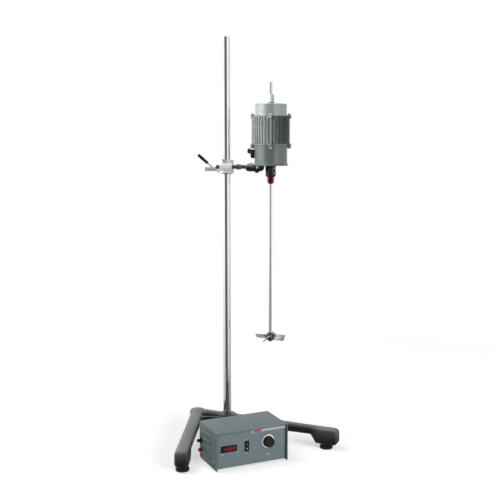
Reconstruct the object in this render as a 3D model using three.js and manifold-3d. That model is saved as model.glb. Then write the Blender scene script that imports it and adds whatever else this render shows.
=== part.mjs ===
// Laboratory stirrer: a geared motor with a hollow spindle, carried on a tall column by a boss head,
// over an unequal V-shaped cast base, with its separate speed controller.
// Millimetres, +Z up, front towards -Y, origin under the middle of the footprint.

import * as THREE from 'three';
import { mergeVertices } from 'three/addons/utils/BufferGeometryUtils.js';
import Module from 'manifold-3d';

const wasm = await Module();
wasm.setup();

// Driving dimensions, in millimetres and degrees

const fit = {
  gap: 0.3, // clearance between neighbouring pieces
  overrun: 2, // how far a cut runs past the face that it opens
  edge: 1, // chamfer on turned and moulded edges
  edgeShare: 0.3, // of that chamfer on the smallest pieces
};

const facetCount = { large: 28, medium: 20, small: 12, bevel: 2 };

const column = { diameter: 25.4, top: 1250, chamfer: 1.5, studDiameter: 16 };

const base = {
  longReach: 331, // from the column to the right foot
  vertexReach: 105, // from the column back to the vertex of the V
  shortReach: 346, // from the vertex to the left foot
  longAngle: -46.45,
  shortAngle: -118.3,
  legWidth: 40,
  hoofWidth: 42,
  padDiameter: 36, // of the rear foot's pad
  vertexTop: 71, // height of the legs' top at the vertex
  noseTop: 62.5, // and at the noses
  barBottom: 41,
  hoofBottom: 15,
  heel: 30, // from the foot's centre back to the hoof's heel
  neck: 16,
  longNose: 38, // from the right foot's centre to the end of its leg
  shortNose: 27, // and from the left one's
  noseRadius: 16,
  toeRadius: 7,
  edgeRadius: 8,
  vertexRadius: 25,
  knuckleTop: 72,
  webReach: 62, // along the short leg, to the web's front rib
  webTop: 65,
  webBottom: 45,
  ribWidth: 13,
  pocketDepth: 9,
  bossDiameter: 58,
  bossTop: 70.5,
  bossFloor: 11, // iron under the column's end
  rearReach: 45, // from the vertex along the long leg to the rear foot
};

const foot = {
  diameter: 40,
  crownDiameter: 26,
  rimHeight: 7,
  rimChamfer: 2,
  studDiameter: 8, // moulded into the rubber
  bite: 16, // length of stud in the iron
};

const anchor = { washerDiameter: 34, washerThickness: 3, nutFlats: 24, nutHeight: 12 };

const carriage = { height: 857, angle: -26.5 }; // the arm's axis, and where the arm points

const bush = { wall: 2.5, bottom: -23, top: 21.5, flangeWidth: 3.5, flangeHeight: 3, slit: 2 };

const boss = {
  outerDiameter: 46,
  bottom: -19.5,
  top: 21,
  rimRadius: 2,
  rodOffset: 26, // from the column's axis forward to the arm's axis
  rodBarrel: 24,
  rodBarrelLength: 38,
  lugDiameter: 22,
  lugReach: 29.5,
};

const clampScrew = { diameter: 12.5, reach: 67, drop: -7.5, tipDiameter: 9, tipLength: 4 };

const lever = { root: 35, reach: 63, diameter: 4.5, slope: 41, gripDiameter: 10, gripLength: 40, gripEnd: 2 };

const armScrew = { diameter: 6, head: 8, headHeight: 5, standOff: 11, shift: -8 };

const arm = { diameter: 12, tail: -31, end: 79, collarStart: 30, collarLength: 17, collarDiameter: 17 };

const bracket = {
  start: 61,
  end: 118,
  width: 46,
  socketTop: 12,
  bottom: -13.5,
  neck: -8,
  corner: 10,
  boltSpread: 30,
  boltShare: 0.6, // where the bolts stand along the bracket
  boltDiameter: 6,
  boltHead: 10,
  boltHeadHeight: 4,
};

const motor = {
  reach: 137, // from the column's axis along the arm
  seat: 4, // underside over the arm's axis
  bellHeight: 64,
  frameHeight: 84,
  capHeight: 37,
  hubHeight: 6,
  hubDiameter: 22,
  bellDiameter: 101,
  flangeDiameter: 109,
  flangeHeight: 3.5,
  capDiameter: 97,
  capRound: 4,
  wall: 4,
  floor: 6,
  rootDiameter: 103,
  finDiameter: 114,
  finCount: 36,
  finThickness: 2.6,
  boltCircle: 112.4,
  lugDiameter: 12,
  lugHeight: 6,
  boltDiameter: 5,
  boltHeadDiameter: 9,
  boltHeadHeight: 4,
};

const bearing = { outer: 35, height: 10, seatWall: 4, land: 3, seal: 1 };

const spindle = { diameter: 14, bore: 10.8, bottom: -24, collarDiameter: 18, collarHeight: 22 };

const armature = { diameter: 60, length: 52, lift: 16, slotCount: 12, slotDepth: 8, slotWidth: 5, shaftSleeve: 3 };

const commutator = { diameter: 30, length: 16, gapToCore: 14 };

const magnet = { thickness: 9, sweep: 120, length: 64 };

const brush = { width: 6, height: 10, length: 15, standOff: 4, holderWall: 2 };

const terminal = {
  width: 24,
  height: 29,
  depth: 11,
  lift: 20,
  cornerShare: 0.25, // of the depth, cut off the lower edge
  glandDiameter: 15,
  glandReach: 9,
  glandDrop: 5,
};

const chuck = {
  diameter: 32,
  top: 3.6,
  shoulder: -26,
  bottom: -31,
  shoulderDiameter: 25,
  noseDiameter: 17,
  nose: -40,
  nutFlats: 19,
  nutRound: 21.5,
  nutTaper: -45,
  nutBottom: -52,
  tipDiameter: 13,
  nutFloor: 3,
  colletWall: 2,
  colletTip: 1,
};

const shaft = { diameter: 10, rise: 255.7, round: 1.5 }; // rise: over the arm's axis

const impeller = {
  diameter: 95,
  hubDiameter: 21,
  drop: 530, // from the arm's axis down to the blades
  hubAbove: 13,
  hubBelow: 14,
  rodEnd: 8, // from the blades down to the rod's end
  plug: 4,
  chamfer: 2,
  bladeCount: 4,
  bladeWidth: 22,
  bladeThickness: 2.6,
  pitch: 42,
  turn: 70,
};

const cabinet = {
  x: -42.1,
  y: -221.5,
  width: 225,
  depth: 135,
  height: 113,
  sheet: 1.6,
  bend: 2,
  skirt: 2, // the cover's lower edge over the bench
  frontRecess: 9,
  backRecess: 4,
  panBottom: 6,
  louvreCount: 4,
  louvreTop: 91,
  louvrePitch: 22,
  louvreLength: 57,
  louvreShift: 8,
  louvreHeight: 7,
  louvreReach: 3.2,
  footDiameter: 16,
  footTip: 11,
  footInset: 22,
};

const display = { xShare: -0.3187, z: 62, width: 47, height: 16, depth: 12, lip: 1.5, proud: 1.2 };

const lamp = { xShare: -0.2053, z: 89, diameter: 5, bezel: 9, proud: 1.6, depth: 9, dome: 2.5 };

const rocker = {
  xShare: -0.0689,
  z: 61.5,
  width: 13.5,
  height: 31.5,
  proud: 1.4,
  border: 2,
  depth: 18,
  thickness: 5,
  crown: 3,
  lift: 1.5,
};

const knob = {
  xShare: 0.2311,
  z: 67,
  diameter: 34,
  skirt: 36,
  skirtHeight: 3.5,
  height: 14,
  fluteCount: 16,
  fluteDepth: 0.9,
  round: 2.5,
  dialDiameter: 42,
  dialThickness: 1.2,
  shaftDiameter: 6,
  shaftDepth: 12,
  bushDiameter: 9.5,
  bodyDiameter: 24,
  bodyDepth: 11,
};

const transformer = {
  xShare: 0.2444,
  y: 22,
  width: 56,
  depth: 46,
  height: 46,
  coilWidth: 34,
  coilDepth: 62,
  coilHeight: 28,
};

const board = {
  xShare: -0.2,
  y: 12,
  widthShare: 0.444,
  depth: 74,
  thickness: 1.6,
  post: 7,
  postDiameter: 7,
  inset: 8,
  part: 16,
};

const inlet = {
  yShare: 0.4,
  z: 57,
  diameter: 13,
  flange: 18,
  flangeThickness: 2,
  reach: 9,
  fuseZ: 28.5,
  fuseDiameter: 12,
  fuseReach: 11,
};

// Places across the controller are shares of its width, from its middle.
for (const item of [display, lamp, rocker, knob, transformer, board]) item.x = item.xShare * cabinet.width;
board.width = board.widthShare * cabinet.width;
inlet.y = inlet.yShare * cabinet.depth;

// Finishes

const finishes = {
  casting: { color: 0x3b3f40, roughness: 0.7, metalness: 0.2 },
  rubber: { color: 0x101010, roughness: 0.8, metalness: 0 },
  zinc: { color: 0xb4b6b6, roughness: 0.35, metalness: 0.9 },
  stainless: { color: 0xc3c1bb, roughness: 0.2, metalness: 1 },
  chrome: { color: 0xd6d8da, roughness: 0.1, metalness: 1 },
  armSteel: { color: 0x7c766a, roughness: 0.35, metalness: 0.9 },
  blackSteel: { color: 0x1b1c1d, roughness: 0.45, metalness: 0.5 },
  grip: { color: 0x141414, roughness: 0.5, metalness: 0 },
  motorPaint: { color: 0x7f8986, roughness: 0.45, metalness: 0.3 },
  capPaint: { color: 0xb3bab8, roughness: 0.35, metalness: 0.5 },
  copper: { color: 0xb0683c, roughness: 0.4, metalness: 0.9 },
  ferrite: { color: 0x2c2a29, roughness: 0.8, metalness: 0.1 },
  laminations: { color: 0x6c6f72, roughness: 0.5, metalness: 0.8 },
  whitePlastic: { color: 0xf1f1ee, roughness: 0.4, metalness: 0 },
  redPaint: { color: 0xa91d2b, roughness: 0.35, metalness: 0.2 },
  cabinetPaint: { color: 0x65757a, roughness: 0.5, metalness: 0.1 },
  smokedLens: { color: 0x120c0c, roughness: 0.15, metalness: 0 },
  redLens: { color: 0xd8202a, roughness: 0.2, metalness: 0 },
  blackPlastic: { color: 0x151617, roughness: 0.45, metalness: 0 },
  board: { color: 0x1f5b34, roughness: 0.6, metalness: 0 },
};

// Solids from closed geometries

const weld = 1e-4;

// A cut or joined surface is already closed; a three.js one is welded first.
function solid(geometry) {
  let welded = geometry;
  if (geometry.hasAttribute('normal')) {
    const bare = geometry.clone();
    bare.deleteAttribute('normal');
    bare.deleteAttribute('uv');
    welded = mergeVertices(bare, weld);
  }
  const corners = welded.index.array;
  const triangles = [];
  for (let i = 0; i < corners.length; i += 3) {
    const [a, b, c] = corners.slice(i, i + 3);
    if (a !== b && b !== c && c !== a) triangles.push(a, b, c);
  }
  const vertProperties = Float32Array.from(welded.attributes.position.array);
  return new wasm.Manifold(new wasm.Mesh({ numProp: 3, vertProperties, triVerts: Uint32Array.from(triangles) }));
}

function surface(body) {
  const { vertProperties, triVerts } = body.getMesh();
  const geometry = new THREE.BufferGeometry();
  geometry.setAttribute('position', new THREE.BufferAttribute(vertProperties, 3));
  geometry.setIndex(new THREE.BufferAttribute(triVerts, 1));
  return geometry;
}

function join(first, ...others) {
  return surface(others.reduce((sum, other) => sum.add(solid(other)), solid(first)));
}

function cut(body, ...tools) {
  return surface(tools.reduce((rest, tool) => rest.subtract(solid(tool)), solid(body)));
}

// Revolves [radius, height] points about +Z, from the axis to the axis or round a closed ring.
function revolve(points, segments = facetCount.medium) {
  const outline = points.map(([radius, height]) => new THREE.Vector2(radius, height));
  return new THREE.LatheGeometry(outline, segments).rotateX(Math.PI / 2);
}

function rod(diameter, bottom, top, segments = facetCount.small) {
  const radius = diameter / 2;
  return revolve([[0, bottom], [radius, bottom], [radius, top], [0, top]], segments);
}

function tube(bore, diameter, bottom, top, segments = facetCount.medium) {
  const [inner, outer] = [bore / 2, diameter / 2];
  return revolve([[inner, bottom], [outer, bottom], [outer, top], [inner, top], [inner, bottom]], segments);
}

// A rod with its upper edge, its lower edge or both chamfered.
function chamferedRod(diameter, bottom, top, upper, lower = 0, segments = facetCount.small) {
  const radius = diameter / 2;
  const points = [[0, bottom], [radius - lower, bottom]];
  if (lower > 0) points.push([radius, bottom + lower]);
  points.push([radius, top - upper], [radius - upper, top], [0, top]);
  return revolve(points, segments);
}

// Profile points of a quarter round that leaves a vertical side for a top face.
function roundTop(radius, top, round, steps = 4) {
  return Array.from({ length: steps + 1 }, (_, i) => {
    const turn = (i / steps) * (Math.PI / 2);
    return [radius - round + round * Math.cos(turn), top - round + round * Math.sin(turn)];
  });
}

function box(width, depth, height, x = 0, y = 0, bottom = 0) {
  return new THREE.BoxGeometry(width, depth, height).translate(x, y, bottom + height / 2);
}

function outline(points) {
  return new THREE.Shape(points.map(([x, y]) => new THREE.Vector2(x, y)));
}

// Extrudes a shape from height zero to height, with its edges rounded inwards by bevel.
function prism(shape, height, bevel = 0, curveSegments = 4) {
  const options = {
    depth: height - 2 * bevel,
    bevelEnabled: bevel > 0,
    bevelThickness: bevel,
    bevelSize: bevel,
    bevelOffset: -bevel,
    bevelSegments: facetCount.bevel,
    curveSegments,
  };
  return new THREE.ExtrudeGeometry(shape, options).translate(0, 0, bevel);
}

// Stands a prism up, so that its shape lies in X and Z and it is centred on the Y axis.
function upright(shape, width, bevel = 0, curveSegments = 4) {
  return prism(shape, width, bevel, curveSegments).rotateX(Math.PI / 2).translate(0, width / 2, 0);
}

function polygon(sides, acrossFlats, bottom, top) {
  const radius = acrossFlats / 2 / Math.cos(Math.PI / sides);
  return revolve([[0, bottom], [radius, bottom], [radius, top], [0, top]], sides);
}

const alongX = (geometry) => geometry.rotateY(Math.PI / 2);
const towardsFront = (geometry) => geometry.rotateX(Math.PI / 2);
const radians = THREE.MathUtils.degToRad;

function polar(reach, degrees) {
  return [reach * Math.cos(radians(degrees)), reach * Math.sin(radians(degrees))];
}

function around(count, make) {
  return Array.from({ length: count }, (_, i) => make((i * 2 * Math.PI) / count, i));
}

function piece(name, geometry, finish) {
  const mesh = new THREE.Mesh(geometry, new THREE.MeshStandardMaterial(finishes[finish]));
  mesh.name = name;
  return mesh;
}

function group(...children) {
  return new THREE.Group().add(...children);
}

// Stand: cast base on rubber feet, with the column bolted through it

const vertex = polar(-base.vertexReach, base.longAngle);
const rightFoot = polar(base.longReach, base.longAngle);
const leftFoot = polar(base.shortReach, base.shortAngle).map((value, i) => value + vertex[i]);
const rearFoot = polar(base.rearReach - base.vertexReach, base.longAngle);
const bossUnderside = base.barBottom - base.bossFloor;

// Side view of a leg's bar, from the vertex into the hoof.
function barOutline(reach) {
  return outline([[0, base.barBottom], [reach, base.barBottom], [reach, base.noseTop], [0, base.vertexTop]]);
}

// Side view of the hoof under the nose, necked down to the bar.
function hoofOutline(reach, nose) {
  const end = reach + nose;
  const heel = reach - base.heel;
  const shape = new THREE.Shape();
  shape.moveTo(heel - base.neck, base.barBottom);
  shape.lineTo(heel, base.hoofBottom);
  shape.lineTo(end - base.toeRadius, base.hoofBottom);
  shape.lineTo(end, base.hoofBottom + base.toeRadius);
  shape.lineTo(end, base.noseTop - base.noseRadius);
  shape.quadraticCurveTo(end, base.noseTop, end - base.noseRadius, base.noseTop);
  shape.lineTo(heel - base.neck, base.noseTop);
  return shape;
}

function leg(reach, nose, degrees) {
  return join(
    upright(barOutline(reach), base.legWidth, base.edgeRadius),
    upright(hoofOutline(reach, nose), base.hoofWidth, base.edgeRadius),
  ).rotateZ(radians(degrees)).translate(...vertex, 0);
}

// Web that ties the legs behind the column, sunk to a pocket inside its front rib.
function webOutline(inset) {
  const rib = polar(base.webReach - inset, base.shortAngle).map((value, i) => value + vertex[i]);
  const end = polar(base.bossDiameter / 2 - inset, base.shortAngle);
  return outline([vertex, rib, end, polar(base.bossDiameter / 2, base.longAngle)]);
}

function baseCasting() {
  const web = prism(webOutline(0), base.webTop - base.webBottom).translate(0, 0, base.webBottom);
  const pocketFloor = base.webTop - base.pocketDepth;
  const pocket = prism(webOutline(base.ribWidth), base.pocketDepth + fit.overrun).translate(0, 0, pocketFloor);
  const knuckle = revolve([
    [0, base.barBottom],
    [base.vertexRadius, base.barBottom],
    ...roundTop(base.vertexRadius, base.knuckleTop, base.edgeRadius),
    [0, base.knuckleTop],
  ]).translate(...vertex, 0);
  const columnBoss = revolve([
    [0, bossUnderside],
    [base.bossDiameter / 2, bossUnderside],
    ...roundTop(base.bossDiameter / 2, base.bossTop, fit.overrun, 2),
    [0, base.bossTop],
  ]);
  const rearPad = rod(base.padDiameter, base.hoofBottom, base.barBottom + base.edgeRadius, facetCount.medium)
    .translate(...rearFoot, 0);
  const iron = join(
    cut(web, pocket),
    leg(base.vertexReach + base.longReach, base.longNose, base.longAngle),
    leg(base.shortReach, base.shortNose, base.shortAngle),
    knuckle,
    columnBoss,
    rearPad,
  );
  const socket = rod(column.diameter + 2 * fit.gap, base.barBottom, base.bossTop + fit.overrun, facetCount.medium);
  const studHole = rod(column.studDiameter + 2 * fit.gap, 0, base.barBottom + fit.overrun);
  const studHoles = [leftFoot, rightFoot, rearFoot].map((place) =>
    rod(foot.studDiameter + 2 * fit.gap, base.hoofBottom - fit.overrun, base.hoofBottom + foot.bite + fit.gap)
      .translate(...place, 0));
  return cut(iron, socket, studHole, ...studHoles);
}

// Rubber foot, moulded on the stud that holds it in the iron.
function rubberFoot() {
  const [rim, crown] = [foot.diameter / 2, foot.crownDiameter / 2];
  const top = base.hoofBottom - fit.gap;
  const pad = revolve([
    [0, 0],
    [rim - foot.rimChamfer, 0],
    [rim, foot.rimChamfer],
    [rim, foot.rimHeight],
    [crown, foot.rimHeight + foot.rimChamfer],
    [crown, top],
    [0, top],
  ]);
  return join(pad, rod(foot.studDiameter, top - fit.gap, base.hoofBottom + foot.bite));
}

function columnTube() {
  const bottom = base.barBottom + fit.gap;
  const body = chamferedRod(column.diameter, bottom, column.top, column.chamfer, column.chamfer, facetCount.medium);
  const washerBottom = bossUnderside - fit.gap - anchor.washerThickness;
  const studEnd = washerBottom - fit.gap - anchor.nutHeight;
  return join(body, rod(column.studDiameter, studEnd, bottom + fit.overrun));
}

function stand() {
  const feet = { left: leftFoot, right: rightFoot, rear: rearFoot };
  const pads = Object.entries(feet).map(([side, [x, y]]) => {
    const pad = piece(`foot_${side}`, rubberFoot(), 'rubber');
    pad.position.set(x, y, 0);
    return pad;
  });
  const hole = column.studDiameter + 2 * fit.gap;
  const washerTop = bossUnderside - fit.gap;
  const washer = tube(hole, anchor.washerDiameter, washerTop - anchor.washerThickness, washerTop);
  const nutTop = washerTop - anchor.washerThickness - fit.gap;
  const nut = cut(
    polygon(6, anchor.nutFlats, nutTop - anchor.nutHeight, nutTop),
    rod(hole, nutTop - anchor.nutHeight - fit.overrun, nutTop + fit.overrun),
  );
  return group(
    piece('base_casting', baseCasting(), 'casting'),
    piece('column', columnTube(), 'stainless'),
    piece('column_washer', washer, 'zinc'),
    piece('column_nut', nut, 'zinc'),
    ...pads,
  );
}

// Boss head: a split bush that slides on the column, in a body that turns on it and holds the arm

const bushBore = column.diameter + 2 * fit.gap;
const bushOuter = bushBore + 2 * bush.wall;
const bossBore = bushOuter + 2 * fit.gap;

function columnBush() {
  const flange = bushOuter + 2 * bush.flangeWidth;
  const sleeve = join(
    tube(bushBore, bushOuter, bush.bottom, bush.top),
    tube(bushBore, flange, bush.bottom, bush.bottom + bush.flangeHeight),
  );
  const height = bush.top - bush.bottom + 2 * fit.overrun;
  return cut(sleeve, box(bush.slit, flange, height, 0, flange / 2, bush.bottom - fit.overrun));
}

function bossHead() {
  const bottom = boss.bottom;
  const barrel = revolve([
    [0, bottom],
    [boss.outerDiameter / 2 - boss.rimRadius, bottom],
    [boss.outerDiameter / 2, bottom + boss.rimRadius],
    ...roundTop(boss.outerDiameter / 2, boss.top, boss.rimRadius, 2),
    [0, boss.top],
  ]);
  const halfLength = boss.rodBarrelLength / 2;
  const rodBarrel = alongX(chamferedRod(boss.rodBarrel, -halfLength, halfLength, boss.rimRadius, boss.rimRadius))
    .translate(0, -boss.rodOffset, 0);
  const cheek = box(boss.rodBarrel, boss.rodOffset, boss.rodBarrel, 0, -boss.rodOffset / 2, -boss.rodBarrel / 2);
  const lug = alongX(chamferedRod(boss.lugDiameter, -boss.lugReach, 0, 0, boss.rimRadius))
    .translate(0, 0, clampScrew.drop);
  const body = join(barrel, rodBarrel, cheek, lug);
  const bore = rod(bossBore, bottom - fit.overrun, boss.top + fit.overrun, facetCount.medium);
  const rodBore = alongX(rod(arm.diameter + 2 * fit.gap, -boss.lugReach, boss.lugReach))
    .translate(0, -boss.rodOffset, 0);
  const screwBore = alongX(rod(clampScrew.diameter + 2 * fit.gap, -boss.lugReach - fit.overrun, 0))
    .translate(0, 0, clampScrew.drop);
  const armScrewBore = rod(armScrew.diameter + 2 * fit.gap, 0, boss.rodBarrel)
    .translate(armScrew.shift, -boss.rodOffset, 0);
  return cut(body, bore, rodBore, screwBore, armScrewBore);
}

// Screw that squeezes the split bush on the column, with its lever welded on at a slope.
function clampScrewBody() {
  const tip = -bushOuter / 2 - fit.gap;
  const shoulder = tip - clampScrew.tipLength;
  const body = join(
    alongX(chamferedRod(clampScrew.diameter, -clampScrew.reach, shoulder, 0, fit.edge)),
    alongX(rod(clampScrew.tipDiameter, shoulder - fit.gap, tip)),
  );
  const socket = rod(lever.diameter + 2 * fit.gap, 0, clampScrew.diameter);
  return cut(body, sloped(socket)).translate(0, 0, clampScrew.drop);
}

// Turns what stands on +Z to the lever's slope, and sets it at the lever's root on the screw.
function sloped(geometry) {
  return geometry.rotateY(-radians(90 - lever.slope)).translate(-lever.root, 0, 0);
}

function clampLever() {
  const start = fit.gap;
  const end = lever.reach - fit.gap;
  return sloped(chamferedRod(lever.diameter, start, end, fit.gap)).translate(0, 0, clampScrew.drop);
}

function leverGrip() {
  const start = lever.reach - lever.gripLength + lever.gripEnd;
  const top = start + lever.gripLength;
  const radius = lever.gripDiameter / 2;
  const grip = revolve([
    [0, start],
    [radius - fit.edge, start],
    [radius, start + lever.gripEnd],
    ...roundTop(radius, top, radius / 2, 3),
    [0, top],
  ], facetCount.small);
  const bore = rod(lever.diameter + 2 * fit.gap, start - fit.overrun, lever.reach);
  return sloped(cut(grip, bore)).translate(0, 0, clampScrew.drop);
}

function armScrewBody() {
  const seat = arm.diameter / 2 + fit.gap;
  const headBottom = boss.rodBarrel / 2 + armScrew.standOff - armScrew.headHeight;
  const chamfer = fit.edge * fit.edgeShare;
  return join(
    rod(armScrew.diameter, seat, headBottom + fit.gap),
    chamferedRod(armScrew.head, headBottom, headBottom + armScrew.headHeight, chamfer, chamfer),
  ).translate(armScrew.shift, -boss.rodOffset, 0);
}

function armRod() {
  return alongX(chamferedRod(arm.diameter, arm.tail, arm.end, fit.edge, fit.edge))
    .translate(0, -boss.rodOffset, 0);
}

// Stop collar on the arm, waisted to both ends.
function armCollar() {
  const bore = arm.diameter / 2 + fit.gap;
  const waist = bore + fit.edge;
  const crown = arm.collarDiameter / 2;
  const [start, end] = [arm.collarStart, arm.collarStart + arm.collarLength];
  const third = arm.collarLength / 3;
  return alongX(revolve([
    [bore, start],
    [waist, start],
    [crown, start + third],
    [crown, end - third],
    [waist, end],
    [bore, end],
    [bore, start],
  ], facetCount.small)).translate(0, -boss.rodOffset, 0);
}

// Motor bracket: a socket for the arm, stepped down to a plate under the lower bell

const bracketSeat = motor.seat - fit.gap;
const bracketBoltX = bracket.start + (bracket.end - bracket.start) * bracket.boltShare;
const bracketBoltSides = { front: -bracket.boltSpread / 2, rear: bracket.boltSpread / 2 };

function motorBracket() {
  const step = motor.reach - motor.flangeDiameter / 2 - fit.gap;
  const shape = new THREE.Shape();
  shape.moveTo(bracket.start + bracket.corner / 2, bracket.bottom);
  shape.lineTo(bracket.end - bracket.corner, bracket.bottom);
  shape.quadraticCurveTo(bracket.end, bracket.bottom, bracket.end, bracketSeat);
  shape.lineTo(step, bracketSeat);
  shape.lineTo(step, bracket.socketTop);
  shape.lineTo(bracket.start + bracket.corner, bracket.socketTop);
  shape.lineTo(bracket.start, bracket.socketTop - bracket.corner / 2);
  shape.lineTo(bracket.start, bracket.neck);
  const block = upright(shape, bracket.width);
  const socket = alongX(rod(arm.diameter + 2 * fit.gap, bracket.start - fit.overrun, arm.end + fit.gap));
  const holes = Object.values(bracketBoltSides).map((y) =>
    rod(bracket.boltDiameter + 2 * fit.gap, bracket.bottom - fit.overrun, bracketSeat + fit.overrun)
      .translate(bracketBoltX, y, 0));
  return cut(block, socket, ...holes).translate(0, -boss.rodOffset, 0);
}

function bracketBolt(y) {
  const headTop = bracket.bottom - fit.gap;
  const shank = rod(bracket.boltDiameter, headTop - fit.gap, motor.seat + motor.floor / 2);
  return join(shank, polygon(6, bracket.boltHead, headTop - bracket.boltHeadHeight, headTop))
    .translate(bracketBoltX, y - boss.rodOffset, 0);
}

// Motor: heights run up from the underside of its lower bell, on its own axis

const bellTop = motor.bellHeight;
const frameBottom = bellTop + fit.gap;
const frameTop = frameBottom + motor.frameHeight;
const capBottom = frameTop + fit.gap;
const capTop = capBottom + motor.capHeight;
const hubTop = capTop + motor.hubHeight;
const frameBore = motor.rootDiameter - 2 * motor.wall;
const spindleHole = spindle.diameter + 4 * fit.gap;
const bearingBore = spindle.diameter + 2 * fit.gap;
const bearingSeat = bearing.outer + 2 * fit.gap;
const bearingHousing = bearingSeat + 2 * bearing.seatWall;
const lowerBearing = motor.floor;
const upperBearing = capTop - motor.wall - bearing.land - bearing.height;
const lugAngles = [0, 90, 180, 270];

// Ears for the tie bolts, each on a web from the shell's inside.
function lugs(bottom, top) {
  const start = motor.capDiameter / 2 - motor.wall;
  const end = motor.boltCircle / 2;
  const ear = () => join(
    rod(motor.lugDiameter, bottom, top).translate(end, 0, 0),
    box(end - start, motor.lugDiameter, top - bottom, (start + end) / 2, 0, bottom),
  );
  return lugAngles.map((angle) => ear().rotateZ(radians(angle)));
}

function lugHoles(bottom, top) {
  return lugAngles.map((angle) =>
    rod(motor.boltDiameter + 2 * fit.gap, bottom - fit.overrun, top + fit.overrun)
      .translate(...polar(motor.boltCircle / 2, angle), 0));
}

function lowerBell() {
  const outer = motor.bellDiameter / 2;
  const inner = outer - motor.wall;
  const housing = bearingHousing / 2;
  const seat = bearingSeat / 2;
  const landTop = lowerBearing + bearing.height + fit.gap;
  const shell = revolve([
    [spindleHole / 2, 0],
    [motor.flangeDiameter / 2, 0],
    [motor.flangeDiameter / 2, motor.flangeHeight],
    [outer, motor.flangeHeight + fit.overrun],
    [outer, bellTop],
    [inner, bellTop],
    [inner, motor.floor],
    [housing, motor.floor],
    [housing, landTop],
    [seat, landTop],
    [seat, lowerBearing - fit.gap],
    [spindleHole / 2, lowerBearing - fit.gap],
    [spindleHole / 2, 0],
  ], facetCount.large);
  const body = join(shell, ...lugs(bellTop - motor.lugHeight, bellTop));
  const inside = rod(2 * inner, motor.floor, bellTop + fit.overrun, facetCount.large);
  const keep = cut(inside, rod(bearingHousing, 0, landTop));
  const boltHoles = Object.values(bracketBoltSides).map((y) =>
    rod(bracket.boltDiameter + 2 * fit.gap, -fit.overrun, motor.floor + fit.overrun)
      .translate(bracketBoltX - motor.reach, y, 0));
  return cut(body, keep, ...boltHoles, ...lugHoles(bellTop - motor.lugHeight, bellTop));
}

// Finned frame: straight cooling fins round the shell, with lugs for the tie bolts at both ends.
function finnedFrame() {
  const root = motor.rootDiameter / 2;
  const tip = motor.finDiameter / 2;
  const points = around(motor.finCount, (turn) => {
    const halfRoot = motor.finThickness / 2 / root;
    const halfTip = motor.finThickness / 4 / tip;
    return [[root, -halfRoot], [tip, -halfTip], [tip, halfTip], [root, halfRoot]]
      .map(([radius, offset]) => [radius * Math.cos(turn + offset), radius * Math.sin(turn + offset)]);
  }).flat();
  const shell = prism(outline(points), motor.frameHeight).translate(0, 0, frameBottom);
  const height = motor.lugHeight;
  const body = join(shell, ...lugs(frameBottom, frameBottom + height), ...lugs(frameTop - height, frameTop));
  const bore = rod(frameBore, frameBottom - fit.overrun, frameTop + fit.overrun, facetCount.large);
  return cut(body, bore, ...lugHoles(frameBottom, frameTop));
}

function upperCap() {
  const outer = motor.capDiameter / 2;
  const inner = outer - motor.wall;
  const housing = bearingHousing / 2;
  const seat = bearingSeat / 2;
  const roof = capTop - motor.wall;
  const seatTop = upperBearing + bearing.height + fit.gap;
  const shell = revolve([
    [inner, capBottom],
    [outer, capBottom],
    ...roundTop(outer, capTop, motor.capRound, 3),
    [motor.hubDiameter / 2, capTop],
    [motor.hubDiameter / 2, hubTop],
    [spindleHole / 2, hubTop],
    [spindleHole / 2, seatTop],
    [seat, seatTop],
    [seat, upperBearing - fit.gap],
    [housing, upperBearing - fit.gap],
    [housing, roof],
    [inner, roof],
    [inner, capBottom],
  ], facetCount.large);
  const body = join(shell, ...lugs(capBottom, capBottom + motor.lugHeight));
  const inside = cut(
    rod(2 * inner, capBottom - fit.overrun, roof, facetCount.large),
    rod(bearingHousing, upperBearing - fit.gap, capTop),
  );
  return cut(body, inside, ...lugHoles(capBottom, capBottom + motor.lugHeight));
}

function tieBolt(angle) {
  const bottom = bellTop - motor.lugHeight;
  const top = capBottom + motor.lugHeight;
  return join(
    rod(motor.boltDiameter, bottom - motor.boltHeadHeight, top + fit.overrun),
    polygon(6, motor.boltHeadDiameter, top + fit.gap, top + fit.gap + motor.boltHeadHeight),
    polygon(6, motor.boltHeadDiameter, bottom - fit.gap - motor.boltHeadHeight, bottom - fit.gap),
  ).translate(...polar(motor.boltCircle / 2, angle), 0);
}

function ballBearing(bottom) {
  const [inner, outer] = [bearingBore / 2, bearing.outer / 2];
  const top = bottom + bearing.height;
  const [low, high] = [inner + (outer - inner) / 3, outer - (outer - inner) / 3];
  return revolve([
    [inner, bottom],
    [outer, bottom],
    [outer, top],
    [high, top],
    [high, top - bearing.seal],
    [low, top - bearing.seal],
    [low, top],
    [inner, top],
    [inner, bottom],
  ]);
}

function fieldMagnet(centre) {
  const outer = frameBore / 2 - fit.gap;
  const inner = outer - magnet.thickness;
  const half = radians(magnet.sweep / 2);
  const middle = radians(centre);
  const shape = new THREE.Shape();
  shape.absarc(0, 0, outer, middle - half, middle + half, false);
  shape.absarc(0, 0, inner, middle + half, middle - half, true);
  const lift = frameBottom + (motor.frameHeight - magnet.length) / 2;
  return prism(shape, magnet.length, 0, 14).translate(0, 0, lift);
}

const coreBottom = frameBottom + armature.lift;
const coreTop = coreBottom + armature.length;
const commutatorBottom = coreTop + commutator.gapToCore;
const brushHeight = commutatorBottom + commutator.length / 2;

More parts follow.
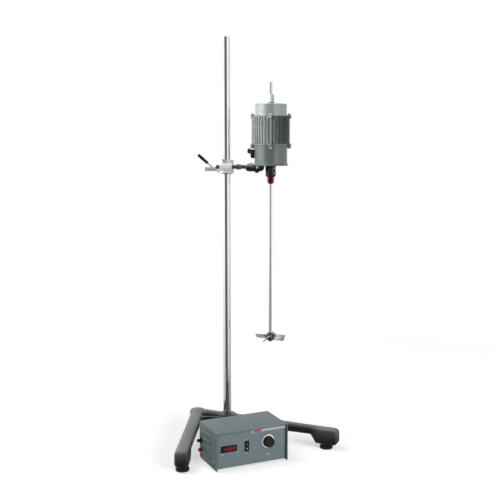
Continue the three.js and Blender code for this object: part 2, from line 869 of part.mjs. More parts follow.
// Slotted stack with its end windings, on a sleeve that reaches both bearings.
function armatureCore() {
  const wound = armature.diameter - armature.slotDepth;
  const endTurn = commutator.gapToCore - fit.overrun;
  const slots = around(armature.slotCount, (turn) =>
    box(armature.slotDepth, armature.slotWidth, armature.length + fit.overrun * 2)
      .translate(armature.diameter / 2, 0, coreBottom - fit.overrun)
      .rotateZ(turn));
  const stack = cut(rod(armature.diameter, coreBottom, coreTop, facetCount.medium), ...slots);
  const sleeveBottom = lowerBearing + bearing.height + fit.gap;
  const sleeve = rod(spindle.diameter + 2 * armature.shaftSleeve, sleeveBottom, commutatorBottom - fit.gap);
  const windings = rod(wound, coreBottom - endTurn, coreTop + endTurn - fit.gap, facetCount.medium);
  const bore = rod(bearingBore, 0, capTop);
  return cut(join(stack, windings, sleeve), bore);
}

function carbonBrush(side) {
  const start = commutator.diameter / 2 + fit.gap;
  return box(brush.length, brush.width, brush.height)
    .translate(start + brush.length / 2, 0, brushHeight - brush.height / 2)
    .rotateZ(side);
}

// Holder for one brush, standing on the upper cap's bore wall.
function brushHolder(side) {
  const start = commutator.diameter / 2 + brush.standOff;
  const width = brush.width + 2 * brush.holderWall;
  const end = Math.sqrt((motor.capDiameter / 2 - motor.wall - 2 * fit.gap) ** 2 - (width / 2) ** 2);
  const height = brush.height + 2 * brush.holderWall;
  const block = box(end - start, width, height, (start + end) / 2, 0, brushHeight - height / 2);
  const slotHeight = brush.height + 2 * fit.gap;
  const [slotStart, slotEnd] = [start - fit.overrun, commutator.diameter / 2 + 2 * fit.gap + brush.length];
  const slot = box(slotEnd - slotStart, brush.width + 2 * fit.gap, slotHeight, (slotStart + slotEnd) / 2, 0,
    brushHeight - slotHeight / 2);
  return cut(block, slot).rotateZ(side);
}

function terminalBlock() {
  const wall = motor.bellDiameter / 2 + fit.gap;
  const corner = terminal.depth * terminal.cornerShare;
  const block = upright(outline([
    [-wall - terminal.depth, terminal.lift + corner],
    [-wall - terminal.depth + corner, terminal.lift],
    [-wall + fit.overrun, terminal.lift],
    [-wall + fit.overrun, terminal.lift + terminal.height],
    [-wall - terminal.depth, terminal.lift + terminal.height],
  ]), terminal.width);
  return cut(block, rod(2 * wall, 0, bellTop, facetCount.large));
}

function motorGland() {
  const start = motor.bellDiameter / 2 + terminal.depth + 2 * fit.gap;
  const height = terminal.lift + terminal.height - terminal.glandDrop;
  const nut = alongX(polygon(6, terminal.glandDiameter, -start - terminal.glandReach / 2, -start));
  const dome = alongX(chamferedRod(
    terminal.glandDiameter - fit.overrun,
    -start - terminal.glandReach,
    -start - terminal.glandReach / 2 + fit.gap,
    0,
    fit.overrun,
  ));
  const hole = alongX(rod(terminal.glandDiameter / 2, -start - terminal.glandReach - fit.overrun, -start - fit.gap));
  return cut(join(nut, dome), hole).translate(0, 0, height);
}

// Spindle: a hollow shaft through the motor, with the chuck at its lower end

const colletTop = chuck.nose - fit.gap;
const nutFloor = chuck.nutBottom + chuck.nutFloor;
const rodHole = shaft.diameter + 2 * fit.gap;

function hollowSpindle() {
  return tube(spindle.bore, spindle.diameter, spindle.bottom - motor.seat, hubTop + spindle.collarHeight / 2,
    facetCount.small);
}

function spindleCollar() {
  const bottom = hubTop + fit.gap;
  const ring = chamferedRod(spindle.collarDiameter, bottom, bottom + spindle.collarHeight, fit.edge);
  return cut(
    ring,
    rod(bearingBore, bottom - fit.overrun, hubTop + spindle.collarHeight / 2 + fit.gap),
    rod(rodHole, bottom, bottom + spindle.collarHeight + fit.overrun),
  );
}

function chuckBody() {
  const seatBottom = spindle.bottom - fit.gap;
  const [hole, seat, nose] = [rodHole / 2, bearingBore / 2, chuck.noseDiameter / 2];
  const body = revolve([
    [hole, chuck.nose],
    [nose, chuck.nose],
    [nose, chuck.bottom],
    [chuck.shoulderDiameter / 2, chuck.bottom],
    [chuck.diameter / 2, chuck.shoulder],
    [chuck.diameter / 2, chuck.top],
    [seat, chuck.top],
    [seat, seatBottom],
    [hole, seatBottom],
    [hole, chuck.nose],
  ], facetCount.medium);
  return body.translate(0, 0, -motor.seat);
}

function chuckNut() {
  const top = chuck.bottom - fit.gap;
  const [crown, tip] = [chuck.nutRound / 2, chuck.tipDiameter / 2];
  const skin = revolve([
    [0, chuck.nutBottom],
    [tip, chuck.nutBottom],
    [crown, chuck.nutTaper],
    [crown, top - fit.edge],
    [crown - fit.edge, top],
    [0, top],
  ], facetCount.medium);
  const nut = surface(solid(skin).intersect(solid(polygon(6, chuck.nutFlats, chuck.nutBottom, top))));
  const cavity = rod(chuck.noseDiameter + 2 * fit.gap, colletTop, top + fit.overrun);
  const pocket = rod(chuck.noseDiameter - chuck.colletWall + 2 * fit.gap, nutFloor, colletTop + fit.gap);
  const hole = rod(rodHole, chuck.nutBottom - fit.overrun, nutFloor + fit.overrun);
  return cut(nut, cavity, pocket, hole).translate(0, 0, -motor.seat);
}

function collet() {
  const outer = (chuck.noseDiameter - chuck.colletWall) / 2;
  const [hole, bottom] = [rodHole / 2, nutFloor + fit.gap];
  return revolve([
    [hole, bottom],
    [outer - chuck.colletTip, bottom],
    [outer, bottom + chuck.colletTip],
    [outer, colletTop - fit.gap],
    [hole, colletTop - fit.gap],
    [hole, bottom],
  ], facetCount.small).translate(0, 0, -motor.seat);
}

// Stirring rod and its pitched-blade impeller: heights are from the arm's axis

const bladeHeight = -impeller.drop;
const shaftBottom = bladeHeight - impeller.rodEnd;

function stirrerRod() {
  return chamferedRod(shaft.diameter, shaftBottom, shaft.rise, shaft.round, shaft.round);
}

function impellerBody() {
  const radius = impeller.hubDiameter / 2;
  const [bottom, top] = [bladeHeight - impeller.hubBelow, bladeHeight + impeller.hubAbove];
  const hub = revolve([
    [0, bottom],
    [radius / 2, bottom],
    [radius - impeller.chamfer, bottom + impeller.plug],
    [radius, bottom + impeller.plug + impeller.chamfer],
    [radius, top - impeller.chamfer],
    [radius - fit.edge, top],
    [0, top],
  ], facetCount.medium);
  const tip = impeller.diameter / 2;
  const root = shaft.diameter / 2 + fit.overrun;
  const blades = around(impeller.bladeCount, (turn) =>
    new THREE.BoxGeometry(tip - root, impeller.bladeWidth, impeller.bladeThickness)
      .rotateX(radians(impeller.pitch))
      .translate((tip + root) / 2, 0, bladeHeight)
      .rotateZ(turn + radians(impeller.turn)));
  return cut(join(hub, ...blades), rod(rodHole, shaftBottom - fit.gap, top + fit.overrun));
}

// Speed controller: a bent pan with the front and back panels, under a louvred cover

const panelFace = -cabinet.depth / 2 + cabinet.frontRecess;
const backFace = cabinet.depth / 2 - cabinet.backRecess;
const panInside = cabinet.panBottom + cabinet.sheet;
const panWidth = cabinet.width - 2 * (cabinet.sheet + fit.gap);
const panTop = cabinet.height - cabinet.sheet - fit.gap;

function coverSection(inset) {
  const half = cabinet.width / 2 - inset;
  const top = cabinet.height - inset;
  const radius = cabinet.bend - inset;
  const shape = new THREE.Shape();
  shape.moveTo(-half, cabinet.skirt - inset);
  shape.lineTo(half, cabinet.skirt - inset);
  shape.lineTo(half, top - radius);
  shape.absarc(half - radius, top - radius, radius, 0, Math.PI / 2, false);
  shape.absarc(radius - half, top - radius, radius, Math.PI / 2, Math.PI, false);
  return shape;
}

// Pressed louvre: a hood, closed at its ends, over an open slot.
function louvreHood(reach, length) {
  return prism(outline([[-cabinet.sheet, 0], [reach, 0], [-cabinet.sheet, cabinet.louvreHeight]]), length)
    .rotateX(Math.PI / 2);
}

function cabinetCover() {
  const skin = upright(coverSection(0), cabinet.depth);
  const room = upright(coverSection(cabinet.sheet), cabinet.depth + 2 * fit.overrun);
  const sides = [1, -1];
  const places = sides.flatMap((side) => Array.from({ length: cabinet.louvreCount }, (_, i) =>
    ({ side, z: cabinet.louvreTop - i * cabinet.louvrePitch })));
  const place = (hood, { side, z }, length, lift) => {
    const centred = hood.translate(cabinet.width / 2, length / 2, 0);
    if (side < 0) centred.rotateZ(Math.PI);
    return centred.translate(0, cabinet.louvreShift, z - lift);
  };
  const length = cabinet.louvreLength;
  const inner = length - 2 * cabinet.sheet;
  const hoods = places.map((spot) => place(louvreHood(cabinet.louvreReach, length), spot, length, 0));
  const slots = places.map((spot) =>
    place(louvreHood(cabinet.louvreReach - cabinet.sheet, inner), spot, inner, cabinet.sheet));
  const holes = [sideHole(inlet.diameter, inlet.z), sideHole(inlet.fuseDiameter, inlet.fuseZ)];
  return cut(join(cut(skin, room), ...hoods), ...slots, ...holes);
}

// Opens the front panel for a round or square part at x and z.
function panelHole(shapeDiameter, x, z) {
  return towardsFront(rod(shapeDiameter + 2 * fit.gap, -fit.overrun, cabinet.frontRecess)).translate(x, panelFace, z);
}

function panelWindow(width, height, x, z) {
  return box(width + 2 * fit.gap, cabinet.frontRecess, height + 2 * fit.gap)
    .translate(x, panelFace, z - height / 2 - fit.gap);
}

function sideHole(diameter, z) {
  return alongX(rod(diameter + 2 * fit.gap, -cabinet.frontRecess, cabinet.frontRecess))
    .translate(-cabinet.width / 2, inlet.y, z);
}

function cabinetPan() {
  const sheet = cabinet.sheet;
  const section = outline([
    [panelFace, cabinet.panBottom],
    [backFace, cabinet.panBottom],
    [backFace, panTop],
    [backFace - sheet, panTop],
    [backFace - sheet, panInside],
    [panelFace + sheet, panInside],
    [panelFace + sheet, panTop],
    [panelFace, panTop],
  ]);
  const pan = upright(section, panWidth).rotateZ(Math.PI / 2);
  const corners = [-1, 1].flatMap((sx) => [-1, 1].map((sy) => [
    sx * (panWidth / 2 - cabinet.footInset),
    (panelFace + backFace) / 2 + sy * ((backFace - panelFace) / 2 - cabinet.footInset),
  ]));
  const feet = corners.map(([x, y]) => revolve([
    [0, 0],
    [cabinet.footTip / 2, 0],
    [cabinet.footDiameter / 2, cabinet.panBottom],
    [cabinet.footDiameter / 2, panInside],
    [0, panInside],
  ], facetCount.small).translate(x, y, 0));
  const posts = boardCorners().map(([x, y]) =>
    rod(board.postDiameter, panInside - sheet, panInside + board.post).translate(x, y, 0));
  const windows = [
    panelWindow(display.width, display.height, display.x, display.z),
    panelWindow(rocker.width - rocker.border, rocker.height - rocker.border, rocker.x, rocker.z),
    panelHole(lamp.diameter, lamp.x, lamp.z),
    panelHole(knob.bushDiameter, knob.x, knob.z),
  ];
  return cut(join(pan, ...feet, ...posts), ...windows);
}

function displayWindow() {
  const plate = box(display.width + 2 * display.lip, display.proud, display.height + 2 * display.lip, display.x,
    panelFace - fit.gap - display.proud / 2, display.z - display.height / 2 - display.lip);
  const module = box(display.width, display.depth, display.height, display.x,
    panelFace - fit.gap - display.proud + display.depth / 2, display.z - display.height / 2);
  return join(plate, module);
}

function lampBezel() {
  const [hole, rim] = [lamp.diameter / 2 - fit.gap, lamp.bezel / 2];
  const seat = hole + fit.gap;
  return towardsFront(revolve([
    [hole, fit.gap],
    [rim, fit.gap],
    [rim - lamp.proud / 2, lamp.proud],
    [seat, lamp.proud],
    [hole, lamp.proud / 2],
    [hole, fit.gap],
  ], facetCount.small)).translate(lamp.x, panelFace, lamp.z);
}

function lampLens() {
  const radius = lamp.diameter / 2 - 2 * fit.gap;
  return towardsFront(revolve([
    [0, -lamp.depth],
    [radius, -lamp.depth],
    ...roundTop(radius, lamp.proud + lamp.dome / 2, radius - fit.gap, 4),
    [0, lamp.proud + lamp.dome / 2],
  ], facetCount.small)).translate(lamp.x, panelFace, lamp.z);
}

function switchHousing() {
  const front = panelFace - fit.gap - rocker.proud;
  const [inWidth, inHeight] = [rocker.width - rocker.border, rocker.height - rocker.border];
  const frame = box(rocker.width, rocker.proud, rocker.height, rocker.x, front + rocker.proud / 2,
    rocker.z - rocker.height / 2);
  const body = box(inWidth, rocker.depth, inHeight, rocker.x, front + rocker.depth / 2, rocker.z - inHeight / 2);
  const well = box(
    inWidth - rocker.border,
    rocker.thickness * 2 + rocker.crown,
    inHeight - rocker.border,
    rocker.x,
    front,
    rocker.z - (inHeight - rocker.border) / 2,
  );
  return cut(join(frame, body), well);
}

// Rocker with a shallow V face, pivoting on a pin across the well.
function switchRocker() {
  const width = rocker.width - 2 * rocker.border - 2 * fit.gap;
  const half = rocker.height / 2 - rocker.border - rocker.border / 2;
  const [back, front] = [rocker.thickness / 2, -rocker.crown];
  const section = outline([
    [back, -half / 2],
    [back, half / 2],
    [front / 3, half],
    [front, half - rocker.crown / 3],
    [front / 2, 0],
    [front, rocker.crown / 3 - half],
    [front / 3, -half],
  ]);
  const pivot = panelFace - fit.gap - rocker.proud + rocker.lift;
  return upright(section, width).rotateZ(Math.PI / 2).translate(rocker.x, pivot, rocker.z);
}

// Fluted knob with a skirt, bored for the control's shaft.
function speedKnob() {
  const lift = knob.dialThickness + 3 * fit.gap;
  const radius = knob.diameter / 2;
  const points = around(knob.fluteCount * 4, (turn, i) => {
    const reach = radius - (i % 4 < 2 ? 0 : knob.fluteDepth);
    return [reach * Math.cos(turn), reach * Math.sin(turn)];
  });
  const body = prism(outline(points), knob.height - knob.skirtHeight).translate(0, 0, lift + knob.skirtHeight);
  const dome = revolve([
    [0, lift],
    [knob.skirt / 2, lift],
    [knob.skirt / 2, lift + knob.skirtHeight / 2],
    [radius, lift + knob.skirtHeight],
    ...roundTop(radius, lift + knob.height, knob.round, 3),
    [0, lift + knob.height],
  ], facetCount.medium);
  const skirt = rod(knob.skirt, lift, lift + knob.skirtHeight, facetCount.medium);
  const trimmed = solid(join(body, skirt)).intersect(solid(dome));
  const bore = rod(knob.shaftDiameter + 2 * fit.gap, lift - fit.overrun, lift + knob.shaftDepth);
  return towardsFront(cut(surface(trimmed), bore)).translate(knob.x, panelFace, knob.z);
}

function dialRing() {
  const hole = knob.bushDiameter + 2 * fit.gap;
  return towardsFront(tube(hole, knob.dialDiameter, fit.gap, fit.gap + knob.dialThickness, facetCount.large))
    .translate(knob.x, panelFace, knob.z);
}

function speedControl() {
  const back = -cabinet.sheet - fit.gap;
  const front = knob.dialThickness + fit.gap;
  return towardsFront(join(
    rod(knob.bodyDiameter, back - knob.bodyDepth, back, facetCount.medium),
    rod(knob.bushDiameter, back - fit.gap, front),
    rod(knob.shaftDiameter, back, front + knob.shaftDepth - fit.overrun),
  )).translate(knob.x, panelFace, knob.z);
}

function transformerBody() {
  const floor = panInside;
  const core = box(transformer.width, transformer.depth, transformer.height, 0, 0, floor);
  const lift = floor + (transformer.height - transformer.coilHeight) / 2;
  const coil = box(transformer.coilWidth, transformer.coilDepth, transformer.coilHeight, 0, 0, lift);
  return join(core, coil).translate(transformer.x, transformer.y, fit.gap);
}

function boardCorners() {
  const [halfX, halfY] = [board.width / 2 - board.inset, board.depth / 2 - board.inset];
  return [-1, 1].flatMap((sx) => [-1, 1].map((sy) => [board.x + sx * halfX, board.y + sy * halfY]));
}

function circuitBoard() {
  const bottom = panInside + board.post + fit.gap;
  const top = bottom + board.thickness;
  const plate = box(board.width, board.depth, board.thickness, board.x, board.y, bottom);
  const heatSink = box(board.part * 2, board.part / 2, board.part * 2, board.x, board.y + board.part, top - fit.gap);
  const capacitors = [-1, 1].map((side) =>
    rod(board.part, top - fit.gap, top + board.part * 2).translate(board.x + side * board.part * 2, board.y, 0));
  const relay = box(board.part, board.part * 2, board.part, board.x, board.y - board.part, top - fit.gap);
  return join(plate, heatSink, relay, ...capacitors);
}

// Fitting on the left side near the back: a flanged body that passes through the cover.
function sideFitting(diameter, z, reach, bore) {
  const inside = -cabinet.sheet - reach;
  const body = join(
    rod(diameter, inside, fit.overrun),
    rod(inlet.flange, fit.gap, fit.gap + inlet.flangeThickness),
    chamferedRod(diameter + 2 * fit.edge, fit.gap, fit.gap + reach, fit.edge),
  );
  const opened = bore > 0 ? cut(body, rod(bore, inside - fit.overrun, reach + fit.overrun)) : body;
  return opened.rotateY(-Math.PI / 2).translate(-cabinet.width / 2, inlet.y, z);
}

function controller() {
  const unit = group(
    piece('cabinet_cover', cabinetCover(), 'cabinetPaint'),
    piece('cabinet_pan', cabinetPan(), 'cabinetPaint'),
    piece('display_window', displayWindow(), 'smokedLens'),
    piece('lamp_bezel', lampBezel(), 'whitePlastic'),
    piece('lamp_lens', lampLens(), 'redLens'),
    piece('switch_housing', switchHousing(), 'blackPlastic'),
    piece('switch_rocker', switchRocker(), 'blackPlastic'),
    piece('speed_knob', speedKnob(), 'blackPlastic'),
    piece('dial_ring', dialRing(), 'zinc'),
    piece('speed_control', speedControl(), 'zinc'),
    piece('transformer', transformerBody(), 'laminations'),
    piece('circuit_board', circuitBoard(), 'board'),
    piece('mains_gland', sideFitting(inlet.diameter, inlet.z, inlet.reach, inlet.diameter / 2), 'blackPlastic'),
    piece('fuse_holder', sideFitting(inlet.fuseDiameter, inlet.fuseZ, inlet.fuseReach, 0), 'redPaint'),
  );
  unit.position.set(cabinet.x, cabinet.y, 0);
  return unit;
}

function motorUnit() {
  const [right, left] = [0, Math.PI];
  const unit = group(
    piece('lower_bell', lowerBell(), 'motorPaint'),
    piece('finned_frame', finnedFrame(), 'motorPaint'),
    piece('upper_cap', upperCap(), 'capPaint'),
    ...lugAngles.map((angle, i) => piece(`tie_bolt_${i + 1}`, tieBolt(angle), 'zinc')),
    piece('magnet_front', fieldMagnet(-90), 'ferrite'),
    piece('magnet_rear', fieldMagnet(90), 'ferrite'),
    piece('bearing_lower', ballBearing(lowerBearing), 'stainless'),
    piece('bearing_upper', ballBearing(upperBearing), 'stainless'),
    piece('brush_right', carbonBrush(right), 'ferrite'),
    piece('brush_left', carbonBrush(left), 'ferrite'),
    piece('brush_holder_right', brushHolder(right), 'blackPlastic'),
    piece('brush_holder_left', brushHolder(left), 'blackPlastic'),
    piece('terminal_block', terminalBlock(), 'blackPlastic'),
    piece('motor_gland', motorGland(), 'blackPlastic'),
    piece('hollow_spindle', hollowSpindle(), 'stainless'),
    piece('armature', armatureCore(), 'laminations'),
    piece('commutator', tube(bearingBore, commutator.diameter, commutatorBottom,
      commutatorBottom + commutator.length), 'copper'),
    piece('spindle_collar', spindleCollar(), 'whitePlastic'),
    piece('chuck_body', chuckBody(), 'blackSteel'),
    piece('chuck_nut', chuckNut(), 'redPaint'),
    piece('collet', collet(), 'zinc'),
  );
  unit.position.set(motor.reach, -boss.rodOffset, motor.seat);
  return unit;
}

function carriageUnit() {
  const stirring = group(
    piece('stirrer_rod', stirrerRod(), 'stainless'),
    piece('impeller', impellerBody(), 'stainless'),
  );
  stirring.position.set(motor.reach, -boss.rodOffset, 0);
  const unit = group(
    piece('column_bush', columnBush(), 'zinc'),
    piece('boss_head', bossHead(), 'chrome'),
    piece('clamp_screw', clampScrewBody(), 'chrome'),
    piece('clamp_lever', clampLever(), 'zinc'),
    piece('lever_grip', leverGrip(), 'grip'),
    piece('arm_screw', armScrewBody(), 'zinc'),
    piece('arm_rod', armRod(), 'armSteel'),
    piece('arm_collar', armCollar(), 'armSteel'),
    piece('motor_bracket', motorBracket(), 'blackSteel'),
    ...Object.entries(bracketBoltSides).map(([side, y]) => piece(`bracket_bolt_${side}`, bracketBolt(y), 'zinc')),
    motorUnit(),
    stirring,
  );
  unit.position.z = carriage.height;
  unit.rotation.z = radians(carriage.angle);
  return unit;
}

const stirrer = group(stand(), carriageUnit(), controller());
stirrer.updateMatrixWorld(true);
const extent = new THREE.Box3().setFromObject(stirrer, true);
const middle = extent.getCenter(new THREE.Vector3());
stirrer.position.set(-middle.x, -middle.y, -extent.min.z);

export default stirrer;
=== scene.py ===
"""Laboratory stirrer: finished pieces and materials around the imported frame.

Each sub-assembly works in its own millimetres. A piece is set into the frame, in metres, when it is finished.
"""

import logging
import math
from dataclasses import dataclass
from enum import Enum
from typing import Optional, Sequence, Union

import bmesh
import bpy
from mathutils import Matrix, Vector


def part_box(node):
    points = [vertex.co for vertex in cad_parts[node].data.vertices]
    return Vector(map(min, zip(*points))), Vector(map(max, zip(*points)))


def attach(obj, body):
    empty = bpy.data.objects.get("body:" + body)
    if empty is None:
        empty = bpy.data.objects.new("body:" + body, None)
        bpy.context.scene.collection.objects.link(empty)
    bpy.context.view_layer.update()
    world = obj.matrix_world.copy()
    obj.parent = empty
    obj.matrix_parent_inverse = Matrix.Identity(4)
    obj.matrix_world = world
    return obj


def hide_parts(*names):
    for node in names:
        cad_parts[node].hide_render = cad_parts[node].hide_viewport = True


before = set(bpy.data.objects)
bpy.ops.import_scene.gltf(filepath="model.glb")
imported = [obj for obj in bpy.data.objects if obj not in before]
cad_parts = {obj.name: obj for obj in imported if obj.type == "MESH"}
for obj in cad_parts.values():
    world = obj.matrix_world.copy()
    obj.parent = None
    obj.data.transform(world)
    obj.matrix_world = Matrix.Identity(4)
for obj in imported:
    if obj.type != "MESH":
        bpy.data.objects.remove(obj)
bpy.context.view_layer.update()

Point = tuple[float, float]
Triple = tuple[float, float, float]
Profile = Sequence[Point]
Colour = Triple
Socket = bpy.types.NodeSocket
Node = bpy.types.Node

MILLIMETRE = 0.001
TINY = 1e-6
# The arm's turn about +Z from +X, in degrees
ARM_TURN = -26.5
# Millimetres: how thick print is, and how much wider a hole is than what passes through it
INK_DEPTH = 0.06
CLEARANCE = 0.6
LOG = logging.getLogger("stirrer")


class Axis(Enum):
    """The axes that a shape can be turned about."""

    X = "X"
    Y = "Y"
    Z = "Z"


@dataclass(frozen=True)
class Site:
    """Where a sub-assembly's own millimetres lie in the frame."""

    origin: Triple
    turn: float = 0.0

    def matrix(self) -> Matrix:
        """The move from own millimetres to the frame's metres."""
        turned = Matrix.Rotation(math.radians(self.turn), 4, "Z")
        return Matrix.Translation(self.origin) @ turned @ Matrix.Scale(MILLIMETRE, 4)


def shown(name: str, data: bpy.types.ID) -> bpy.types.Object:
    """Adds an object to the scene.

    Args:
        name: Its name.
        data: Its mesh, curve, camera or light.

    Returns:
        The object.
    """
    thing = bpy.data.objects.new(name, data)
    bpy.context.scene.collection.objects.link(thing)
    return thing


def settled(holder: bpy.types.Object) -> bpy.types.Mesh:
    """Takes an object out again and keeps the mesh that its modifiers gave it.

    Args:
        holder: The object, which is removed.

    Returns:
        The mesh.
    """
    evaluated = holder.evaluated_get(bpy.context.evaluated_depsgraph_get())
    mesh = bpy.data.meshes.new_from_object(evaluated)
    bpy.data.objects.remove(holder)
    return mesh


# Shapes


class Shape:
    """A mesh in a sub-assembly's own millimetres, which can be joined, cut, rounded and moved."""

    def __init__(self, mesh: bpy.types.Mesh) -> None:
        """Keeps the mesh."""
        self.mesh = mesh

    @classmethod
    def of(cls, bm: bmesh.types.BMesh, turn_out: bool = True) -> "Shape":
        """Closes a bmesh into a shape.

        Args:
            bm: The bmesh, which is freed.
            turn_out: True to make its faces point out.

        Returns:
            The shape.
        """
        if turn_out:
            bmesh.ops.recalc_face_normals(bm, faces=bm.faces)
        mesh = bpy.data.meshes.new("shape")
        bm.to_mesh(mesh)
        bm.free()
        return cls(mesh)

    @classmethod
    def from_node(cls, node: str, site: Site) -> "Shape":
        """Takes a merged copy of a CAD node.

        Args:
            node: The node's name.
            site: The sub-assembly's place.

        Returns:
            The copy, in the sub-assembly's own millimetres.
        """
        bm = bmesh.new()
        bm.from_mesh(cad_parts[node].data)
        bmesh.ops.remove_doubles(bm, verts=bm.verts, dist=TINY)
        bmesh.ops.transform(bm, matrix=site.matrix().inverted(), verts=bm.verts)
        return cls.of(bm, turn_out=False)

    def modified(self, kind: str, **settings: object) -> "Shape":
        """Applies one modifier.

        Args:
            kind: The modifier's type.
            **settings: Its properties.

        Returns:
            The changed shape.
        """
        holder = shown("holder", self.mesh)
        modifier = holder.modifiers.new("step", kind)
        for key, value in settings.items():
            setattr(modifier, key, value)
        return Shape(settled(holder))

    def _combined(self, other: "Shape", operation: str) -> "Shape":
        """Joins or cuts with one other shape.

        Args:
            other: The other shape.
            operation: UNION, DIFFERENCE or INTERSECT.

        Returns:
            The result.
        """
        tool = shown("tool", other.mesh)
        result = self.modified("BOOLEAN", operation=operation, solver="EXACT", object=tool)
        bpy.data.objects.remove(tool)
        return result

    def plus(self, *others: "Shape") -> "Shape":
        """Joins others on."""
        result = self
        for other in others:
            result = result._combined(other, "UNION")
        return result

    def minus(self, *others: "Shape") -> "Shape":
        """Cuts others away."""
        result = self
        for other in others:
            result = result._combined(other, "DIFFERENCE")
        return result

    def within(self, other: "Shape") -> "Shape":
        """Keeps what lies inside the other."""
        return self._combined(other, "INTERSECT")

    def beside(self, *others: "Shape") -> "Shape":
        """Puts separate shells into one mesh.

        Args:
            *others: Shapes that don't touch this one.

        Returns:
            The shape that holds them all.
        """
        bm = bmesh.new()
        for shape in (self, *others):
            bm.from_mesh(shape.mesh)
        return Shape.of(bm)

    def bevelled(self, width: float, steps: int = 2, angle: float = 40.0) -> "Shape":
        """Rounds the sharp edges.

        Args:
            width: The rounding's width.
            steps: Its number of steps.
            angle: The least angle, in degrees, of an edge that is rounded.

        Returns:
            The rounded shape.
        """
        limit = math.radians(angle)
        return self.modified("BEVEL", width=width, segments=steps, limit_method="ANGLE", angle_limit=limit)

    def recast(self, voxel: float, rounds: int) -> "Shape":
        """Rebuilds the skin as soft as a casting's.

        Args:
            voxel: The skin's new pitch.
            rounds: How often it is smoothed.

        Returns:
            The soft shape.
        """
        skin = self.modified("REMESH", mode="VOXEL", voxel_size=voxel)
        return skin.modified("SMOOTH", factor=0.5, iterations=rounds)

    def moved(self, x: float, y: float = 0.0, z: float = 0.0) -> "Shape":
        """Moves the shape."""
        self.mesh.transform(Matrix.Translation((x, y, z)))
        return self

    def turned(self, axis: Axis, degrees: float) -> "Shape":
        """Turns the shape about an axis through its own origin."""
        self.mesh.transform(Matrix.Rotation(math.radians(degrees), 4, axis.value))
        return self

    def to_front(self) -> "Shape":
        """Lays what stands on +Z down towards the front."""
        return self.turned(Axis.X, 90)

    def to_right(self) -> "Shape":
        """Lays what stands on +Z down along +X."""
        return self.turned(Axis.Y, 90)

    def copy(self) -> "Shape":
        """A second shape like this one."""
        return Shape(self.mesh.copy())


def eased(points: Profile, radius: float, steps: int = 3) -> list[Point]:
    """Rounds the corners of a profile.

    Args:
        points: The profile. A ring's first point is repeated at its end, and is left sharp.
        radius: The rounding's size, smaller where a stretch is short.
        steps: The steps in each rounding.

    Returns:
        The rounded profile.
    """
    rounded = [points[0]]
    for before, corner, after in zip(points, points[1:], points[2:]):
        to_before = Vector(before) - Vector(corner)
        to_after = Vector(after) - Vector(corner)
        reach = min(radius, to_before.length * 0.45, to_after.length * 0.45)
        start = Vector(corner) + to_before.normalized() * reach
        end = Vector(corner) + to_after.normalized() * reach
        for step in range(steps + 1):
            share = step / steps
            near = start.lerp(Vector(corner), share)
            far = Vector(corner).lerp(end, share)
            rounded.append(tuple(near.lerp(far, share)))
    rounded.append(points[-1])
    return rounded


def lathe(profile: Profile, segments: int = 64) -> Shape:
    """Revolves a profile about +Z.

    Args:
        profile: Radius and height of each point, from the axis to the axis or round a closed ring.
        segments: The number of faces around.

    Returns:
        The turned shape.
    """
    bm = bmesh.new()
    ring = profile[0] == profile[-1]
    points = profile[:-1] if ring else profile
    rows = []
    for radius, height in points:
        if radius < TINY:
            rows.append([bm.verts.new((0, 0, height))])
            continue
        angles = [2 * math.pi * i / segments for i in range(segments)]
        rows.append([bm.verts.new((radius * math.cos(a), radius * math.sin(a), height)) for a in angles])
    pairs = zip(rows, rows[1:] + rows[:1]) if ring else zip(rows, rows[1:])
    for low, high in pairs:
        for i in range(segments):
            j = (i + 1) % segments
            corners = [low[i % len(low)], low[j % len(low)], high[j % len(high)], high[i % len(high)]]
            unique = list(dict.fromkeys(corners))
            if len(unique) > 2:
                bm.faces.new(unique)
    return Shape.of(bm)


def rod(diameter: float, bottom: float, top: float, edge: float = 0.4, segments: int = 48) -> Shape:
    """A round bar along +Z with eased ends."""
    radius = diameter / 2
    return lathe(eased([(0, bottom), (radius, bottom), (radius, top), (0, top)], edge), segments)


def tube(bore: float, diameter: float, bottom: float, top: float, edge: float = 0.3, segments: int = 64
         ) -> Shape:
    """A round tube along +Z with eased edges.

    Args:
        bore: Its inner diameter.
        diameter: Its outer diameter.
        bottom: Height of its lower end.
        top: Height of its upper end.
        edge: The edges' rounding.
        segments: The number of faces around.

    Returns:
        The tube.
    """
    inner, outer = bore / 2, diameter / 2
    middle = (inner + outer) / 2
    ring = [(middle, bottom), (outer, bottom), (outer, top), (inner, top), (inner, bottom), (middle, bottom)]
    return lathe(eased(ring, edge), segments)


def prism(outline: Profile, bottom: float, top: float) -> Shape:
    """Stands an outline up along +Z.

    Args:
        outline: The corners, in order.
        bottom: Height of the lower face.
        top: Height of the upper face.

    Returns:
        The closed prism.
    """
    bm = bmesh.new()
    low = [bm.verts.new((x, y, bottom)) for x, y in outline]
    high = [bm.verts.new((x, y, top)) for x, y in outline]
    bm.faces.new(reversed(low))
    bm.faces.new(high)
    for i in range(len(low)):
        j = (i + 1) % len(low)
        bm.faces.new((low[i], low[j], high[j], high[i]))
    return Shape.of(bm)


def rectangle(width: float, height: float) -> list[Point]:
    """The corners of a rectangle about the origin."""
    across, up = width / 2, height / 2
    return [(-across, -up), (across, -up), (across, up), (-across, up)]


def block(size: Triple, middle: Triple) -> Shape:
    """A box of a size about a middle."""
    return prism(rectangle(size[0], size[1]), -size[2] / 2, size[2] / 2).moved(*middle)


def closed(outline: Profile, radius: float, steps: int = 4) -> list[Point]:
    """Rounds every corner of a closed outline.

    Args:
        outline: The outline's corners, in order.
        radius: The rounding's size.
        steps: The steps in each rounding.

    Returns:
        The rounded outline.
    """
    ring = [outline[-1], *outline, outline[0]]
    return eased(ring, radius, steps)[1:-1]


